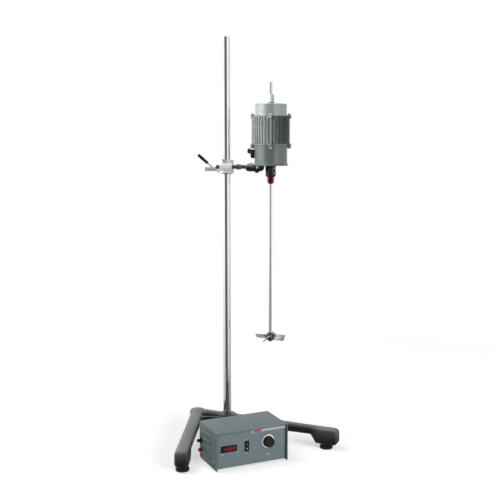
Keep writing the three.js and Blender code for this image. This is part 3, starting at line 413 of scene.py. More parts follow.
def plate(width: float, height: float, thickness: float, radius: float) -> Shape:
    """A plate with rounded corners, facing the front, with its back on the XZ plane.

    Args:
        width: Its size along X.
        height: Its size along Z.
        thickness: Its size along Y.
        radius: The corners' rounding.

    Returns:
        The plate, centred on the Y axis.
    """
    return prism(closed(rectangle(width, height), radius), 0, thickness).to_front()


def hexagon(flats: float, bottom: float, top: float, crown: float = 0.8) -> Shape:
    """A bolt's or nut's six-sided head with chamfered ends.

    Args:
        flats: The size across flats.
        bottom: Height of the lower face.
        top: Height of the upper face.
        crown: How far the corners are turned off.

    Returns:
        The head.
    """
    flat = flats / 2
    radius = flat / math.cos(math.pi / 6)
    outline = [(radius * math.cos(i * math.pi / 3), radius * math.sin(i * math.pi / 3)) for i in range(6)]
    low, high = bottom + crown, top - crown
    drum = lathe([(0, bottom), (flat, bottom), (radius, low), (radius, high), (flat, top), (0, top)])
    return prism(outline, bottom, top).within(drum)


def lettering(words: str, height: float) -> Shape:
    """Plain words that face the front, as thick as ink.

    Args:
        words: What they say.
        height: The size of a capital.

    Returns:
        The letters' shape, centred on the Y axis.
    """
    curve = bpy.data.curves.new("words", "FONT")
    curve.body = words
    curve.size = height * 1.4
    curve.align_x = "CENTER"
    curve.align_y = "CENTER"
    curve.extrude = INK_DEPTH / 2
    curve.resolution_u = 3
    mesh = settled(shown("words", curve))
    bpy.data.curves.remove(curve)
    return Shape(mesh).to_front()


class NodeTree:
    """Adds and feeds the nodes of one tree."""

    def __init__(self, tree: bpy.types.NodeTree) -> None:
        """Keeps the tree."""
        self.tree = tree

    def add(self, kind: str, feeds: Optional[dict[Union[str, int], object]] = None, **settings: object
            ) -> Node:
        """Adds one node.

        Args:
            kind: Its type.
            feeds: By input, the socket, the node (by its first output) or the value that goes in.
            **settings: Its properties.

        Returns:
            The node.
        """
        node = self.tree.nodes.new(kind)
        for key, value in settings.items():
            setattr(node, key, value)
        for key, value in (feeds or {}).items():
            source = value.outputs[0] if isinstance(value, Node) else value
            if isinstance(source, Socket):
                self.tree.links.new(source, node.inputs[key])
            else:
                node.inputs[key].default_value = source
        return node

    def spread(self, value: Socket, low: float, high: float, start: float = 0.0, end: float = 1.0,
               smooth: bool = False) -> Socket:
        """Maps a value from one span to another.

        Args:
            value: The value.
            low: What the start becomes.
            high: What the end becomes.
            start: The span's start.
            end: The span's end.
            smooth: True for a soft step.

        Returns:
            The mapped value's socket.
        """
        feeds = {"Value": value, "From Min": start, "From Max": end, "To Min": low, "To Max": high}
        kind = "SMOOTHSTEP" if smooth else "LINEAR"
        return self.add("ShaderNodeMapRange", feeds, interpolation_type=kind).outputs[0]

    def math(self, operation: str, first: Socket, second: object) -> Socket:
        """One step of arithmetic on a socket and a socket or number."""
        return self.add("ShaderNodeMath", {0: first, 1: second}, operation=operation).outputs[0]

    def either(self, share: Socket, first: Node, second: Node) -> Node:
        """Mixes two shaders by a share of the second."""
        return self.add("ShaderNodeMixShader", {"Fac": share, 1: first, 2: second})


class CopyTree(NodeTree):
    """A Geometry Nodes tree that sets out copies of one shape in a row or round a circle."""

    SOCKETS = {
        "Shape": "NodeSocketObject",
        "Count": "NodeSocketInt",
        "Shift": "NodeSocketVector",
        "Turn": "NodeSocketFloat",
    }

    def __init__(self) -> None:
        """Builds the tree with its named inputs."""
        super().__init__(bpy.data.node_groups.new("set out copies", "GeometryNodeTree"))
        face = self.tree.interface
        self.inputs = {name: face.new_socket(name, in_out="INPUT", socket_type=kind)
                       for name, kind in self.SOCKETS.items()}
        face.new_socket("Geometry", in_out="OUTPUT", socket_type="NodeSocketGeometry")
        given, index = self.add("NodeGroupInput").outputs, self.add("GeometryNodeInputIndex")
        shift = self.add("ShaderNodeVectorMath", {0: given["Shift"], "Scale": index}, operation="SCALE")
        angles = self.add("ShaderNodeCombineXYZ", {"Z": self.math("MULTIPLY", given["Turn"], index)})
        points = self.add("GeometryNodePoints", {"Count": given["Count"], "Position": shift})
        info = self.add("GeometryNodeObjectInfo", {"Object": given["Shape"]})
        feeds = {"Points": points, "Instance": info.outputs["Geometry"], "Rotation": angles}
        stand = self.add("GeometryNodeInstanceOnPoints", feeds)
        self.add("NodeGroupOutput", {0: self.add("GeometryNodeRealizeInstances", {0: stand})})

    def set_out(self, shape: Shape, count: int, shift: Vector = Vector(), turn: float = 0.0) -> Shape:
        """Copies a shape.

        Args:
            shape: What is copied.
            count: How many there are.
            shift: The step from each to the next.
            turn: The turn about +Z from each to the next, in degrees.

        Returns:
            All the copies in one shape.
        """
        pattern = shown("pattern", shape.mesh)
        holder = shown("holder", bpy.data.meshes.new("holder"))
        modifier = holder.modifiers.new("copies", "NODES")
        modifier.node_group = self.tree
        values = {"Shape": pattern, "Count": count, "Shift": shift, "Turn": math.radians(turn)}
        for name, value in values.items():
            modifier[self.inputs[name].identifier] = value
        mesh = settled(holder)
        bpy.data.objects.remove(pattern)
        mesh.materials.clear()
        return Shape(mesh)


COPIES = CopyTree()


# Finishes


class ShaderTree(NodeTree):
    """Adds and feeds the shader nodes of one material."""

    def __init__(self, name: str) -> None:
        """Starts a material that has only its Principled shader.

        Args:
            name: The material's name.
        """
        self.material = bpy.data.materials.new(name)
        self.material.use_nodes = True
        super().__init__(self.material.node_tree)
        self.shader = self.tree.nodes["Principled BSDF"]
        self.place = self.add("ShaderNodeTexCoord").outputs["Object"]

    def set(self, **values: object) -> None:
        """Sets the Principled shader's own sockets, named with underscores for spaces."""
        for key, value in values.items():
            self.shader.inputs[key.replace("_", " ")].default_value = value

    def mapped(self, move: Triple = (0, 0, 0), turn: float = 0.0, scale: Triple = (1, 1, 1)) -> Socket:
        """Object coordinates scaled, turned and moved.

        Args:
            move: The move, after the turn.
            turn: The turn about Z, in degrees, after the scale.
            scale: The scale along each axis.

        Returns:
            The coordinates' socket.
        """
        turned = (0, 0, math.radians(turn))
        feeds = {"Vector": self.place, "Location": move, "Rotation": turned, "Scale": scale}
        return self.add("ShaderNodeMapping", feeds).outputs[0]

    def apart(self, vector: Socket) -> bpy.types.NodeOutputs:
        """The X, Y and Z of a vector."""
        return self.add("ShaderNodeSeparateXYZ", {0: vector}).outputs

    def seen_from(self, start: Point, degrees: float) -> bpy.types.NodeOutputs:
        """Object coordinates from a point on the floor, with X along a direction there.

        Args:
            start: The point, in metres.
            degrees: The direction.

        Returns:
            The X, Y and Z sockets.
        """
        turned = Matrix.Rotation(-math.radians(degrees), 3, "Z") @ Vector((*start, 0))
        return self.apart(self.mapped(-turned, -degrees))

    def noise(self, scale: float, detail: float = 3.0, where: Optional[Socket] = None) -> Socket:
        """Noise over the object.

        Args:
            scale: Its scale, per metre.
            detail: Its octaves.
            where: The coordinates, if not the object's own.

        Returns:
            The noise's socket, from 0 to 1.
        """
        feeds = {"Vector": where or self.place, "Scale": scale, "Detail": detail}
        return self.add("ShaderNodeTexNoise", feeds).outputs["Fac"]

    def blend(self, share: Socket, first: object, second: object) -> Socket:
        """Mixes two colours.

        Args:
            share: How much of the second there is.
            first: A colour or a colour's socket.
            second: A colour or a colour's socket.

        Returns:
            The mixed colour's socket.
        """
        both = [value if isinstance(value, Socket) else (*value, 1.0) for value in (first, second)]
        return self.add("ShaderNodeMix", {0: share, 6: both[0], 7: both[1]}, data_type="RGBA").outputs[2]

    def bump(self, height: Socket, depth: float, under: Optional[Socket] = None) -> Socket:
        """Turns a height into a normal.

        Args:
            height: The height, from 0 to 1.
            depth: What 1 is, in metres.
            under: A normal that it adds to.

        Returns:
            The normal's socket.
        """
        feeds = {"Distance": depth, "Height": height}
        if under:
            feeds["Normal"] = under
        return self.add("ShaderNodeBump", feeds).outputs[0]

    def edges(self, low: float, high: float) -> Socket:
        """How far a point lies on an outer edge, from 0 to 1."""
        pointed = self.add("ShaderNodeNewGeometry").outputs["Pointiness"]
        return self.spread(pointed, 0, 1, low, high, smooth=True)

    def to(self, name: str, socket: Socket) -> None:
        """Leads a socket to the Principled shader."""
        self.tree.links.new(socket, self.shader.inputs[name])


def shade(colour: Colour, factor: float) -> Colour:
    """The colour made darker or lighter by a factor."""
    return tuple(min(1.0, channel * factor) for channel in colour)


@dataclass(frozen=True)
class Finish:
    """What a surface is made of and how it is worked."""

    name: str
    slot: str
    colour: Colour
    roughness: float = 0.5

    def material(self) -> bpy.types.Material:
        """The finish's material, made once."""
        found = bpy.data.materials.get(self.name)
        if found:
            return found
        tree = ShaderTree(self.name)
        self.dress(tree)
        return tree.material

    def dress(self, tree: ShaderTree) -> None:
        """Builds the shader nodes.

        Args:
            tree: The material's tree.
        """
        raise NotImplementedError


@dataclass(frozen=True)
class CastingPaint(Finish):
    """Black paint with painted light: lighter where it faces up and higher up, darker low down and on its
    sides, with the texture of what it lies on.
    """

    # dark is the colour in painted shade; low to high and turning set the heights and slopes over which
    # painted light comes in; sides is how much of it the sides take
    dark: Colour = (0.01, 0.0104, 0.0106)
    low: float = 0.022
    high: float = 0.062
    gloss: float = 0.5
    turning: Point = (0.5, 1.0)
    sides: float = 0.2
    depth: float = 0.0004

    def dress(self, tree: ShaderTree) -> None:
        """Builds the shader nodes.

        Args:
            tree: The material's tree.
        """
        tree.set(Specular_IOR_Level=self.gloss)
        normal = tree.add("ShaderNodeNewGeometry").outputs["Normal"]
        # Painted light: the paint is lighter higher up and where it faces up, and darker elsewhere
        height = tree.spread(tree.apart(tree.place)["Z"], 0, 1, self.low, self.high, smooth=True)
        upward = tree.spread(tree.apart(normal)["Z"], self.sides, 1, *self.turning, smooth=True)
        lit = self.painted_light(tree, tree.math("MULTIPLY", height, upward))
        cloud = tree.spread(tree.noise(14, 4), 0, 1, 0.3, 0.7)
        mottled = tree.blend(cloud, shade(self.colour, 0.86), shade(self.colour, 1.14))
        painted = tree.blend(lit, self.dark, mottled)
        worn = tree.math("MULTIPLY", tree.edges(0.52, 0.62), tree.spread(tree.noise(60), 0, 0.35, 0.4, 0.7))
        tree.to("Base Color", tree.blend(worn, painted, shade(self.colour, 1.7)))
        tree.to("Roughness", tree.spread(tree.noise(220), self.roughness - 0.08, self.roughness + 0.1))
        coarse = tree.bump(tree.noise(420, 2), self.depth)
        tree.to("Normal", tree.bump(tree.noise(1300, 2), self.depth * 0.3, coarse))

    def painted_light(self, tree: ShaderTree, lit: Socket) -> Socket:
        """How much painted light the paint takes, from where it lies; here the share as given."""
        return lit


@dataclass(frozen=True)
class Leg:
    """A leg's centre line on the floor, in metres and degrees, with how its painted shade falls across it."""

    start: Point
    degrees: float
    inside: int
    inner_shade: float
    shade_from: float
    lighter_from: float = 9.0


@dataclass(frozen=True)
class LegPaint(CastingPaint):
    """The base's paint, whose painted light fades to painted shade along the inside of each leg of the V."""

    legs: tuple[Leg, ...] = ()
    half_width: float = 0.021

    def painted_light(self, tree: ShaderTree, lit: Socket) -> Socket:
        """Lets the painted light fade from the outside of each leg to painted shade on its inside, less so on
        its hoof.

        Args:
            tree: The material's tree.
            lit: The share of painted light from its height and from the way it faces.

        Returns:
            The share of painted light.
        """
        half, lit_share = self.half_width, None
        for leg in self.legs:
            local = tree.seen_from(leg.start, leg.degrees)
            # Painted light across the leg: full on its outer edge, fading to painted shade on its inside, and
            # lighter again on the hoof
            across = tree.math("MULTIPLY", local["Y"], leg.inside)
            end = leg.lighter_from + 0.04
            hoof = tree.spread(local["X"], 0, 0.55, leg.lighter_from, end, smooth=True)
            fade = tree.math("MAXIMUM", tree.spread(across, 1, leg.inner_shade, -half, leg.shade_from), hoof)
            on_leg = tree.math("MULTIPLY", fade, tree.spread(across, 1, 0, half + 0.003, half + 0.013))
            lit_share = tree.math("MAXIMUM", on_leg, lit_share) if lit_share else on_leg
        return tree.math("MULTIPLY", lit, lit_share)


@dataclass(frozen=True)
class Enamel(Finish):
    """Sprayed or powder-coated paint with its orange peel, a little wear on the edges and, where asked,
    painted shade in its hollows.
    """

    coat: float = 0.3
    metal: float = 0.0
    peel: float = 520.0
    depth: float = 0.00003
    wear: float = 0.25
    gloss: float = 0.5
    mottle: float = 0.06
    # Painted shade in corners and grooves: how far the occlusion looks, the shaded colour's share, and the
    # occlusion over which it comes in
    hollows: float = 0.0
    hollow_shade: float = 0.06
    shaded_between: Point = (0.35, 0.85)

    def dress(self, tree: ShaderTree) -> None:
        """Builds the shader nodes.

        Args:
            tree: The material's tree.
        """
        tree.set(Metallic=self.metal, Coat_Weight=self.coat, Coat_Roughness=0.18)
        tree.set(Specular_IOR_Level=self.gloss)
        cloud = tree.spread(tree.noise(9, 4), 0, 1, 0.3, 0.7)
        paint = tree.blend(cloud, shade(self.colour, 1 - self.mottle), shade(self.colour, 1 + self.mottle))
        speck = tree.spread(tree.noise(2600, 1), 0, 0.18, 0.62, 0.72)
        paint = tree.blend(speck, paint, shade(self.colour, 0.7))
        # Painted shade: corners and grooves darkened by their occlusion
        if self.hollows:
            paint = tree.blend(self.hollow(tree), paint, shade(self.colour, self.hollow_shade))
        patches = tree.spread(tree.noise(90), 0, self.wear, 0.45, 0.7)
        worn = tree.math("MULTIPLY", tree.edges(0.53, 0.66), patches)
        tree.to("Base Color", tree.blend(worn, paint, shade(self.colour, 1.9)))
        rough = (self.roughness - self.mottle, self.roughness + self.mottle)
        tree.to("Roughness", tree.spread(tree.noise(45), *rough, 0.3, 0.7))
        tree.to("Normal", tree.bump(tree.noise(self.peel, 2), self.depth))

    def hollow(self, tree: ShaderTree) -> Socket:
        """How deep a point lies in a corner or groove, where the paint is darkened as painted shade."""
        open_air = tree.add("ShaderNodeAmbientOcclusion", {"Distance": self.hollows}, samples=8)
        return tree.spread(open_air.outputs["AO"], 1, 0, *self.shaded_between, smooth=True)


@dataclass(frozen=True)
class FinPaint(Enamel):
    """Enamel on fins, whose grooves, and the fins on one side of the motor, are darkened as painted shade."""

    axis: Point = (0.0, 0.0)
    shaded_side: float = -26.0

    def hollow(self, tree: ShaderTree) -> Socket:
        """How much painted shade lies in a groove, and on the fins of the shaded side.

        Args:
            tree: The material's tree.

        Returns:
            The painted shade's share, from 0 to 1.
        """
        across = tree.seen_from(self.axis, self.shaded_side)["X"]
        side = tree.spread(across, 0.2, 1, -0.006, 0.006, smooth=True)
        # Painted shade over the whole shaded side, tips included
        shaded_half = tree.spread(across, 0, 0.6, -0.004, 0.025, smooth=True)
        return tree.math("MAXIMUM", tree.math("MULTIPLY", super().hollow(tree), side), shaded_half)


@dataclass(frozen=True)
class BrightMetal(Finish):
    """Turned, ground or plated metal, with its tool marks along or round it."""

    marks: Triple = (60.0, 60.0, 2600.0)
    depth: float = 0.000004
    stain: Colour = (0.5, 0.46, 0.4)
    stained: float = 0.25

    def dress(self, tree: ShaderTree) -> None:
        """Builds the shader nodes.

        Args:
            tree: The material's tree.
        """
        tree.set(Metallic=1.0)
        grain = tree.noise(1.0, 3, tree.mapped(scale=self.marks))
        cloud = tree.spread(tree.noise(26, 4), 0, self.stained, 0.45, 0.75)
        metal = tree.blend(cloud, self.colour, self.stain)
        tree.to("Base Color", tree.blend(tree.spread(grain, 0, 0.5), metal, shade(self.colour, 0.86)))
        rough = tree.spread(grain, self.roughness * 0.75, self.roughness * 1.3, 0.3, 0.7)
        tree.to("Roughness", tree.math("ADD", rough, tree.spread(cloud, 0, 0.12)))
        tree.to("Normal", tree.bump(grain, self.depth))


@dataclass(frozen=True)
class RootShadedBlade(BrightMetal):
    """Brushed blades, darkened with painted shade round the hub they stand on."""

    hub: Point = (0.0, 0.0)
    near: float = 0.011
    far: float = 0.024

    def dress(self, tree: ShaderTree) -> None:
        """Builds the shader nodes.

        Args:
            tree: The material's tree.
        """
        super().dress(tree)
        metal = tree.shader.inputs["Base Color"].links[0].from_socket
        shift = tree.mapped((-self.hub[0], -self.hub[1], 0), scale=(1, 1, 0))
        reach = tree.add("ShaderNodeVectorMath", {0: shift}, operation="LENGTH").outputs["Value"]
        # Painted shade on the blade roots near the hub
        root_shade = tree.spread(reach, 0.9, 0, self.near, self.far, smooth=True)
        tree.to("Base Color", tree.blend(root_shade, metal, shade(self.stain, 0.25)))


@dataclass(frozen=True)
class Moulding(Finish):
    """Moulded plastic or rubber with a fine grain."""

    grain: float = 1500.0
    depth: float = 0.00003
    clear: float = 0.0
    dust: float = 0.1
    gloss: float = 0.5

    def dress(self, tree: ShaderTree) -> None:
        """Builds the shader nodes.

        Args:
            tree: The material's tree.
        """
        tree.set(Coat_Weight=self.clear, Coat_Roughness=0.12, Specular_IOR_Level=self.gloss)
        cloud = tree.spread(tree.noise(30, 4), 0, self.dust, 0.4, 0.8)
        grey = tuple(channel * 0.7 + 0.08 for channel in self.colour)
        tree.to("Base Color", tree.blend(cloud, self.colour, grey))
        rough = tree.spread(tree.noise(70), self.roughness - 0.05, self.roughness + 0.07, 0.3, 0.7)
        tree.to("Roughness", rough)
        tree.to("Normal", tree.bump(tree.noise(self.grain, 2), self.depth))


@dataclass(frozen=True)
class Glow(Finish):
    """A lit lamp or digit behind its lens."""

    power: float = 1.0

    def dress(self, tree: ShaderTree) -> None:
        """Builds the shader nodes.

        Args:
            tree: The material's tree.
        """
        tree.set(Emission_Strength=self.power, Roughness=0.4)
        uneven = tree.spread(tree.noise(700, 1), 0, 1, 0.35, 0.65)
        lit = tree.blend(uneven, shade(self.colour, 0.82), self.colour)
        tree.to("Base Color", lit)
        tree.to("Emission Color", lit)


@dataclass(frozen=True)
class Layers(Finish):
    """Stacked sheets or wound wire, with a stripe for each."""

    stripe: Triple = (0.0, 0.0, 1600.0)
    second: Colour = (0.05, 0.05, 0.05)
    metal: float = 0.7

    def dress(self, tree: ShaderTree) -> None:
        """Builds the shader nodes.

        Args:
            tree: The material's tree.
        """
        tree.set(Metallic=self.metal)
        feeds = {"Vector": tree.mapped(scale=self.stripe), "Scale": 1.0, "Distortion": 0.6}
        wave = tree.add("ShaderNodeTexWave", feeds).outputs["Fac"]
        tree.to("Base Color", tree.blend(tree.spread(wave, 0, 0.8), self.colour, self.second))
        tree.to("Roughness", tree.spread(tree.noise(120), self.roughness - 0.1, self.roughness + 0.1))
        tree.to("Normal", tree.bump(wave, 0.0002))


class Finishes:
    """The finishes of this stirrer."""

    RUBBER = Moulding("foot rubber", "rubber", (0.011, 0.011, 0.011), 0.62, depth=0.00008, dust=0.2)
    COLUMN = BrightMetal("ground stainless column", "stainless", (0.93, 0.92, 0.89), 0.11, stained=0.12)
    ROD = BrightMetal("ground stainless rod", "stainless", (0.9, 0.88, 0.83), 0.14, stain=(0.62, 0.58, 0.5))
    ZINC = BrightMetal("zinc plate", "zinc", (0.66, 0.67, 0.67), 0.28, stain=(0.6, 0.56, 0.42))
    BOLT = BrightMetal("zinc plated bolt", "zinc", (0.62, 0.63, 0.62), 0.38, stain=(0.45, 0.45, 0.43))
    BAR = Enamel("frosted nickel bar", "chrome", (0.6, 0.61, 0.61), 0.42, coat=0.0, metal=0.4, wear=0.1)
    CHROME = Enamel("bright plated head", "chrome", (0.9, 0.905, 0.905), 0.3, coat=0.2, metal=0.25, wear=0.0)
    ARM = BrightMetal("oiled steel arm", "arm_steel", (0.32, 0.31, 0.24), 0.34, marks=(2600.0, 60.0, 60.0),
                      stain=(0.08, 0.072, 0.055), stained=0.6)
    # Painted highlight: the grip is light grey on its upper side and near black below
    HANDLE = CastingPaint("black lever grip", "black_plastic", (0.3, 0.3, 0.3), 0.38, low=0.0, high=0.01,
                          dark=(0.006, 0.006, 0.006), turning=(0.3, 0.75), sides=0.0, gloss=0.3,
                          depth=0.00003)
    CHUCK = Enamel("blackened chuck", "black_steel", (0.02, 0.021, 0.022), 0.32, coat=0.3, metal=0.4,
                   wear=0.2)
    MOTOR = Enamel("grey motor enamel", "motor_paint", (0.2, 0.232, 0.226), 0.34, coat=0.3, metal=0.45)
    CAP = Enamel("silver cap enamel", "cap_paint", (0.5, 0.54, 0.535), 0.36, coat=0.3, metal=0.45, wear=0.04)
    # Painted shade in the cabinet's corners, under the cover's edges and in the louvres
    CABINET = Enamel("slate powder coat", "cabinet_paint", (0.165, 0.21, 0.226), 0.5, coat=0.0, peel=900.0,
                     gloss=0.3, wear=0.12, mottle=0.01, hollows=0.012, hollow_shade=0.1, shaded_between=(0.45, 0.9))
    GRIP = Moulding("black grip", "black_plastic", (0.008, 0.0085, 0.009), 0.36, clear=0.1, dust=0.03,
                    gloss=0.25)
    PLASTIC = Moulding("black moulding", "black_plastic", (0.012, 0.0125, 0.013), 0.42, dust=0.06, gloss=0.3)
    WHITE = Moulding("white insulator", "white_plastic", (0.94, 0.94, 0.93), 0.4, dust=0.02)
    BEZEL = Moulding("pale bezel", "white_plastic", (0.4, 0.36, 0.36), 0.4, dust=0.05)
    NUT = Enamel("red nut", "red_paint", (0.28, 0.028, 0.062), 0.16, coat=0.3, metal=1.0, wear=0.05)
    FUSE = Moulding("red fuse cap", "red_plastic", (0.3, 0.01, 0.014), 0.3, clear=0.2)
    WINDOW = Moulding("smoked window", "smoked_lens", (0.007, 0.007, 0.008), 0.16, depth=0.000004, dust=0.02,
                      gloss=0.15)
    DIGIT = Glow("lit red digit", "red_lens", (0.55, 0.03, 0.015), power=0.2)
    UNLIT = Moulding("unlit digit", "smoked_lens", (0.035, 0.006, 0.006), 0.3)
    LENS = Glow("lit red lens", "red_lens", (0.5, 0.025, 0.03), power=0.15)
    INK = Moulding("white ink", "white_plastic", (0.8, 0.81, 0.81), 0.5, dust=0.04)
    STRIP = Moulding("pale label strip", "white_plastic", (0.46, 0.47, 0.49), 0.4, clear=0.2, dust=0.05)
    RED_BLOCK = Moulding("red label block", "red_plastic", (0.5, 0.03, 0.035), 0.4, clear=0.2, dust=0.05)
    DIAL = Enamel("satin dial ring", "aluminium_dial", (0.9, 0.91, 0.92), 0.34, coat=0.2, metal=0.5, wear=0.0)
    FERRITE = Moulding("pressed ferrite", "ferrite", (0.03, 0.028, 0.028), 0.7, dust=0.3)
    CARBON = Moulding("pressed carbon", "carbon", (0.02, 0.02, 0.02), 0.55, dust=0.3)
    STACK = Layers("varnished laminations", "laminations", (0.2, 0.2, 0.2), 0.45)
    COPPER = Layers("turned copper bars", "copper", (0.6, 0.28, 0.13), 0.35, stripe=(900.0, 900.0, 0.0),
                    metal=1.0)
    BOARD = Layers("circuit board", "board_green", (0.02, 0.12, 0.04), 0.5, stripe=(420.0, 0.0, 0.0),
                   second=(0.03, 0.2, 0.06), metal=0.0)
    BEARING = BrightMetal("ground bearing steel", "stainless", (0.6, 0.6, 0.6), 0.22)


def make_piece(shape: Shape, name: str, site: Site, finish: Finish, body: str, *nodes: str,
               sharp: float = 34.0) -> None:
    """Sets a finished shape into the frame as a piece of the part.

    Args:
        shape: The shape, in its site's millimetres.
        name: The piece's name.
        site: Where the millimetres lie.
        finish: The piece's finish.
        body: The body that it rides on.
        *nodes: The CAD nodes that it stands for.
        sharp: The least angle, in degrees, of an edge that stays sharp in the shading.
    """
    mesh = shape.mesh
    mesh.transform(site.matrix())
    mesh.name = name
    mesh.shade_smooth()
    mesh.set_sharp_from_angle(angle=math.radians(sharp))
    mesh.materials.clear()
    mesh.materials.append(finish.material())
    piece = shown(name, mesh)
    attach(piece, body)
    if nodes:
        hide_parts(*nodes)
    LOG.info("piece %s: %d faces on %s", name, len(mesh.polygons), body)


def dress_node(node: str, finish: Finish) -> None:
    """Gives a CAD node that stays its finish.

    Args:
        node: The node's name.
        finish: Its finish.
    """
    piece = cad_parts[node]
    for slot in piece.material_slots:
        slot.material = finish.material()
    LOG.info("node %s keeps its shape, in %s", node, finish.name)


# Stand


@dataclass
class Stand:
    """The cast base on its feet, with the column bolted through it."""

    site: Site
    column_diameter: float = 25.4
    stud_diameter: float = 16.0
    stud_length: float = 26.0
    washer_diameter: float = 34.0
    nut_flats: float = 24.0
    foot_diameter: float = 40.0
    crown_diameter: float = 26.0
    crown_height: float = 14.7
    rim_height: float = 8.0
    groove: float = 0.7
    vertex_reach: float = 105.0

    def casting(self) -> Shape:
        """The iron, with the soft corners of a casting."""
        return Shape.from_node("base_casting", self.site).recast(1.9, 9)

    def column(self) -> Shape:
        """The column with its centre drilling on top and the stud under it."""
        low, high = (corner[2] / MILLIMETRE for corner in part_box("column"))
        radius, stud = self.column_diameter / 2, self.stud_diameter / 2
        foot = low + self.stud_length
        profile = [
            (0, low), (stud, low), (stud, foot), (radius, foot), (radius, high), (3.2, high),
            (1.2, high - 2.6), (0, high - 5),
        ]
        return lathe(eased(profile, 1.3, 4), 96)

    def rubber_foot(self, node: str) -> Shape:
        """One rubber foot with two grooves round its rim.

        Args:
            node: The CAD node that it stands for.

        Returns:
            The foot, at its place.
        """
        low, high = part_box(node)
        place = self.site.matrix().inverted() @ ((Vector(low) + Vector(high)) / 2)
        end = high[2] / MILLIMETRE
        rim, crown, top = self.foot_diameter / 2, self.crown_diameter / 2, self.crown_height
        grooved = []
        for height in (2.6, 5.0):
            grooved += [(rim, height - self.groove), (rim - self.groove, height), (rim, height + self.groove)]
        profile = [
            (0, 1.4), (rim - 9, 1.4), (rim - 8, 0), (rim - 1.6, 0), (rim, 1.2), *grooved,
            (rim, self.rim_height), (crown + 1.5, self.rim_height + 1.6), (crown, top), (4, top), (4, end),
            (0, end),
        ]
        return lathe(eased(profile, 0.5, 2), 72).moved(place.x, place.y)

    def paint(self) -> LegPaint:
        """The casting's paint, with its painted light and shade laid out on the lines of its two legs."""
        axis, right, left = Vector(self.site.origin), centre("foot_right"), centre("foot_left")
        long_way = Vector((right.x - axis.x, right.y - axis.y)).normalized()
        vertex = Vector((axis.x, axis.y)) - long_way * self.vertex_reach * MILLIMETRE
        short_way = Vector((left.x - vertex.x, left.y - vertex.y))
        long_turn, short_turn = (math.degrees(math.atan2(way.y, way.x)) for way in (long_way, short_way))
        # Painted shade: deep on the inside of the long leg, milder on the short one; painted light on the
        # long leg's hoof
        legs = (
            Leg(tuple(vertex), long_turn, inside=-1, inner_shade=0.05, shade_from=0.01, lighter_from=0.385),
            Leg(tuple(vertex), short_turn, inside=1, inner_shade=0.32, shade_from=0.021),
        )
        return LegPaint("stove paint on the base", "base_paint", (0.26, 0.27, 0.27), 0.4,
                        dark=(0.006, 0.0063, 0.0064), sides=0.36, legs=legs)

    def build(self) -> None:
        """Makes the stand's pieces."""
        site, body = self.site, "root"
        make_piece(self.casting(), "cast_iron_base", site, self.paint(), body, "base_casting", sharp=80)
        make_piece(self.column(), "stainless_column", site, Finishes.COLUMN, body, "column")
        for side in ("left", "right", "rear"):
            node = f"foot_{side}"
            make_piece(self.rubber_foot(node), f"rubber_{node}", site, Finishes.RUBBER, body, node)
        hole = self.stud_diameter + CLEARANCE
        low, high = (corner[2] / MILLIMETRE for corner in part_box("column_washer"))
        washer = tube(hole, self.washer_diameter, low, high)
        make_piece(washer, "plated_washer", site, Finishes.ZINC, body, "column_washer")
        low, high = (corner[2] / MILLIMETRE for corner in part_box("column_nut"))
        nut = hexagon(self.nut_flats, low, high, 1.4).minus(rod(hole, low - 2, high + 2))
        make_piece(nut, "plated_nut", site, Finishes.ZINC, body, "column_nut")


# Boss head and arm


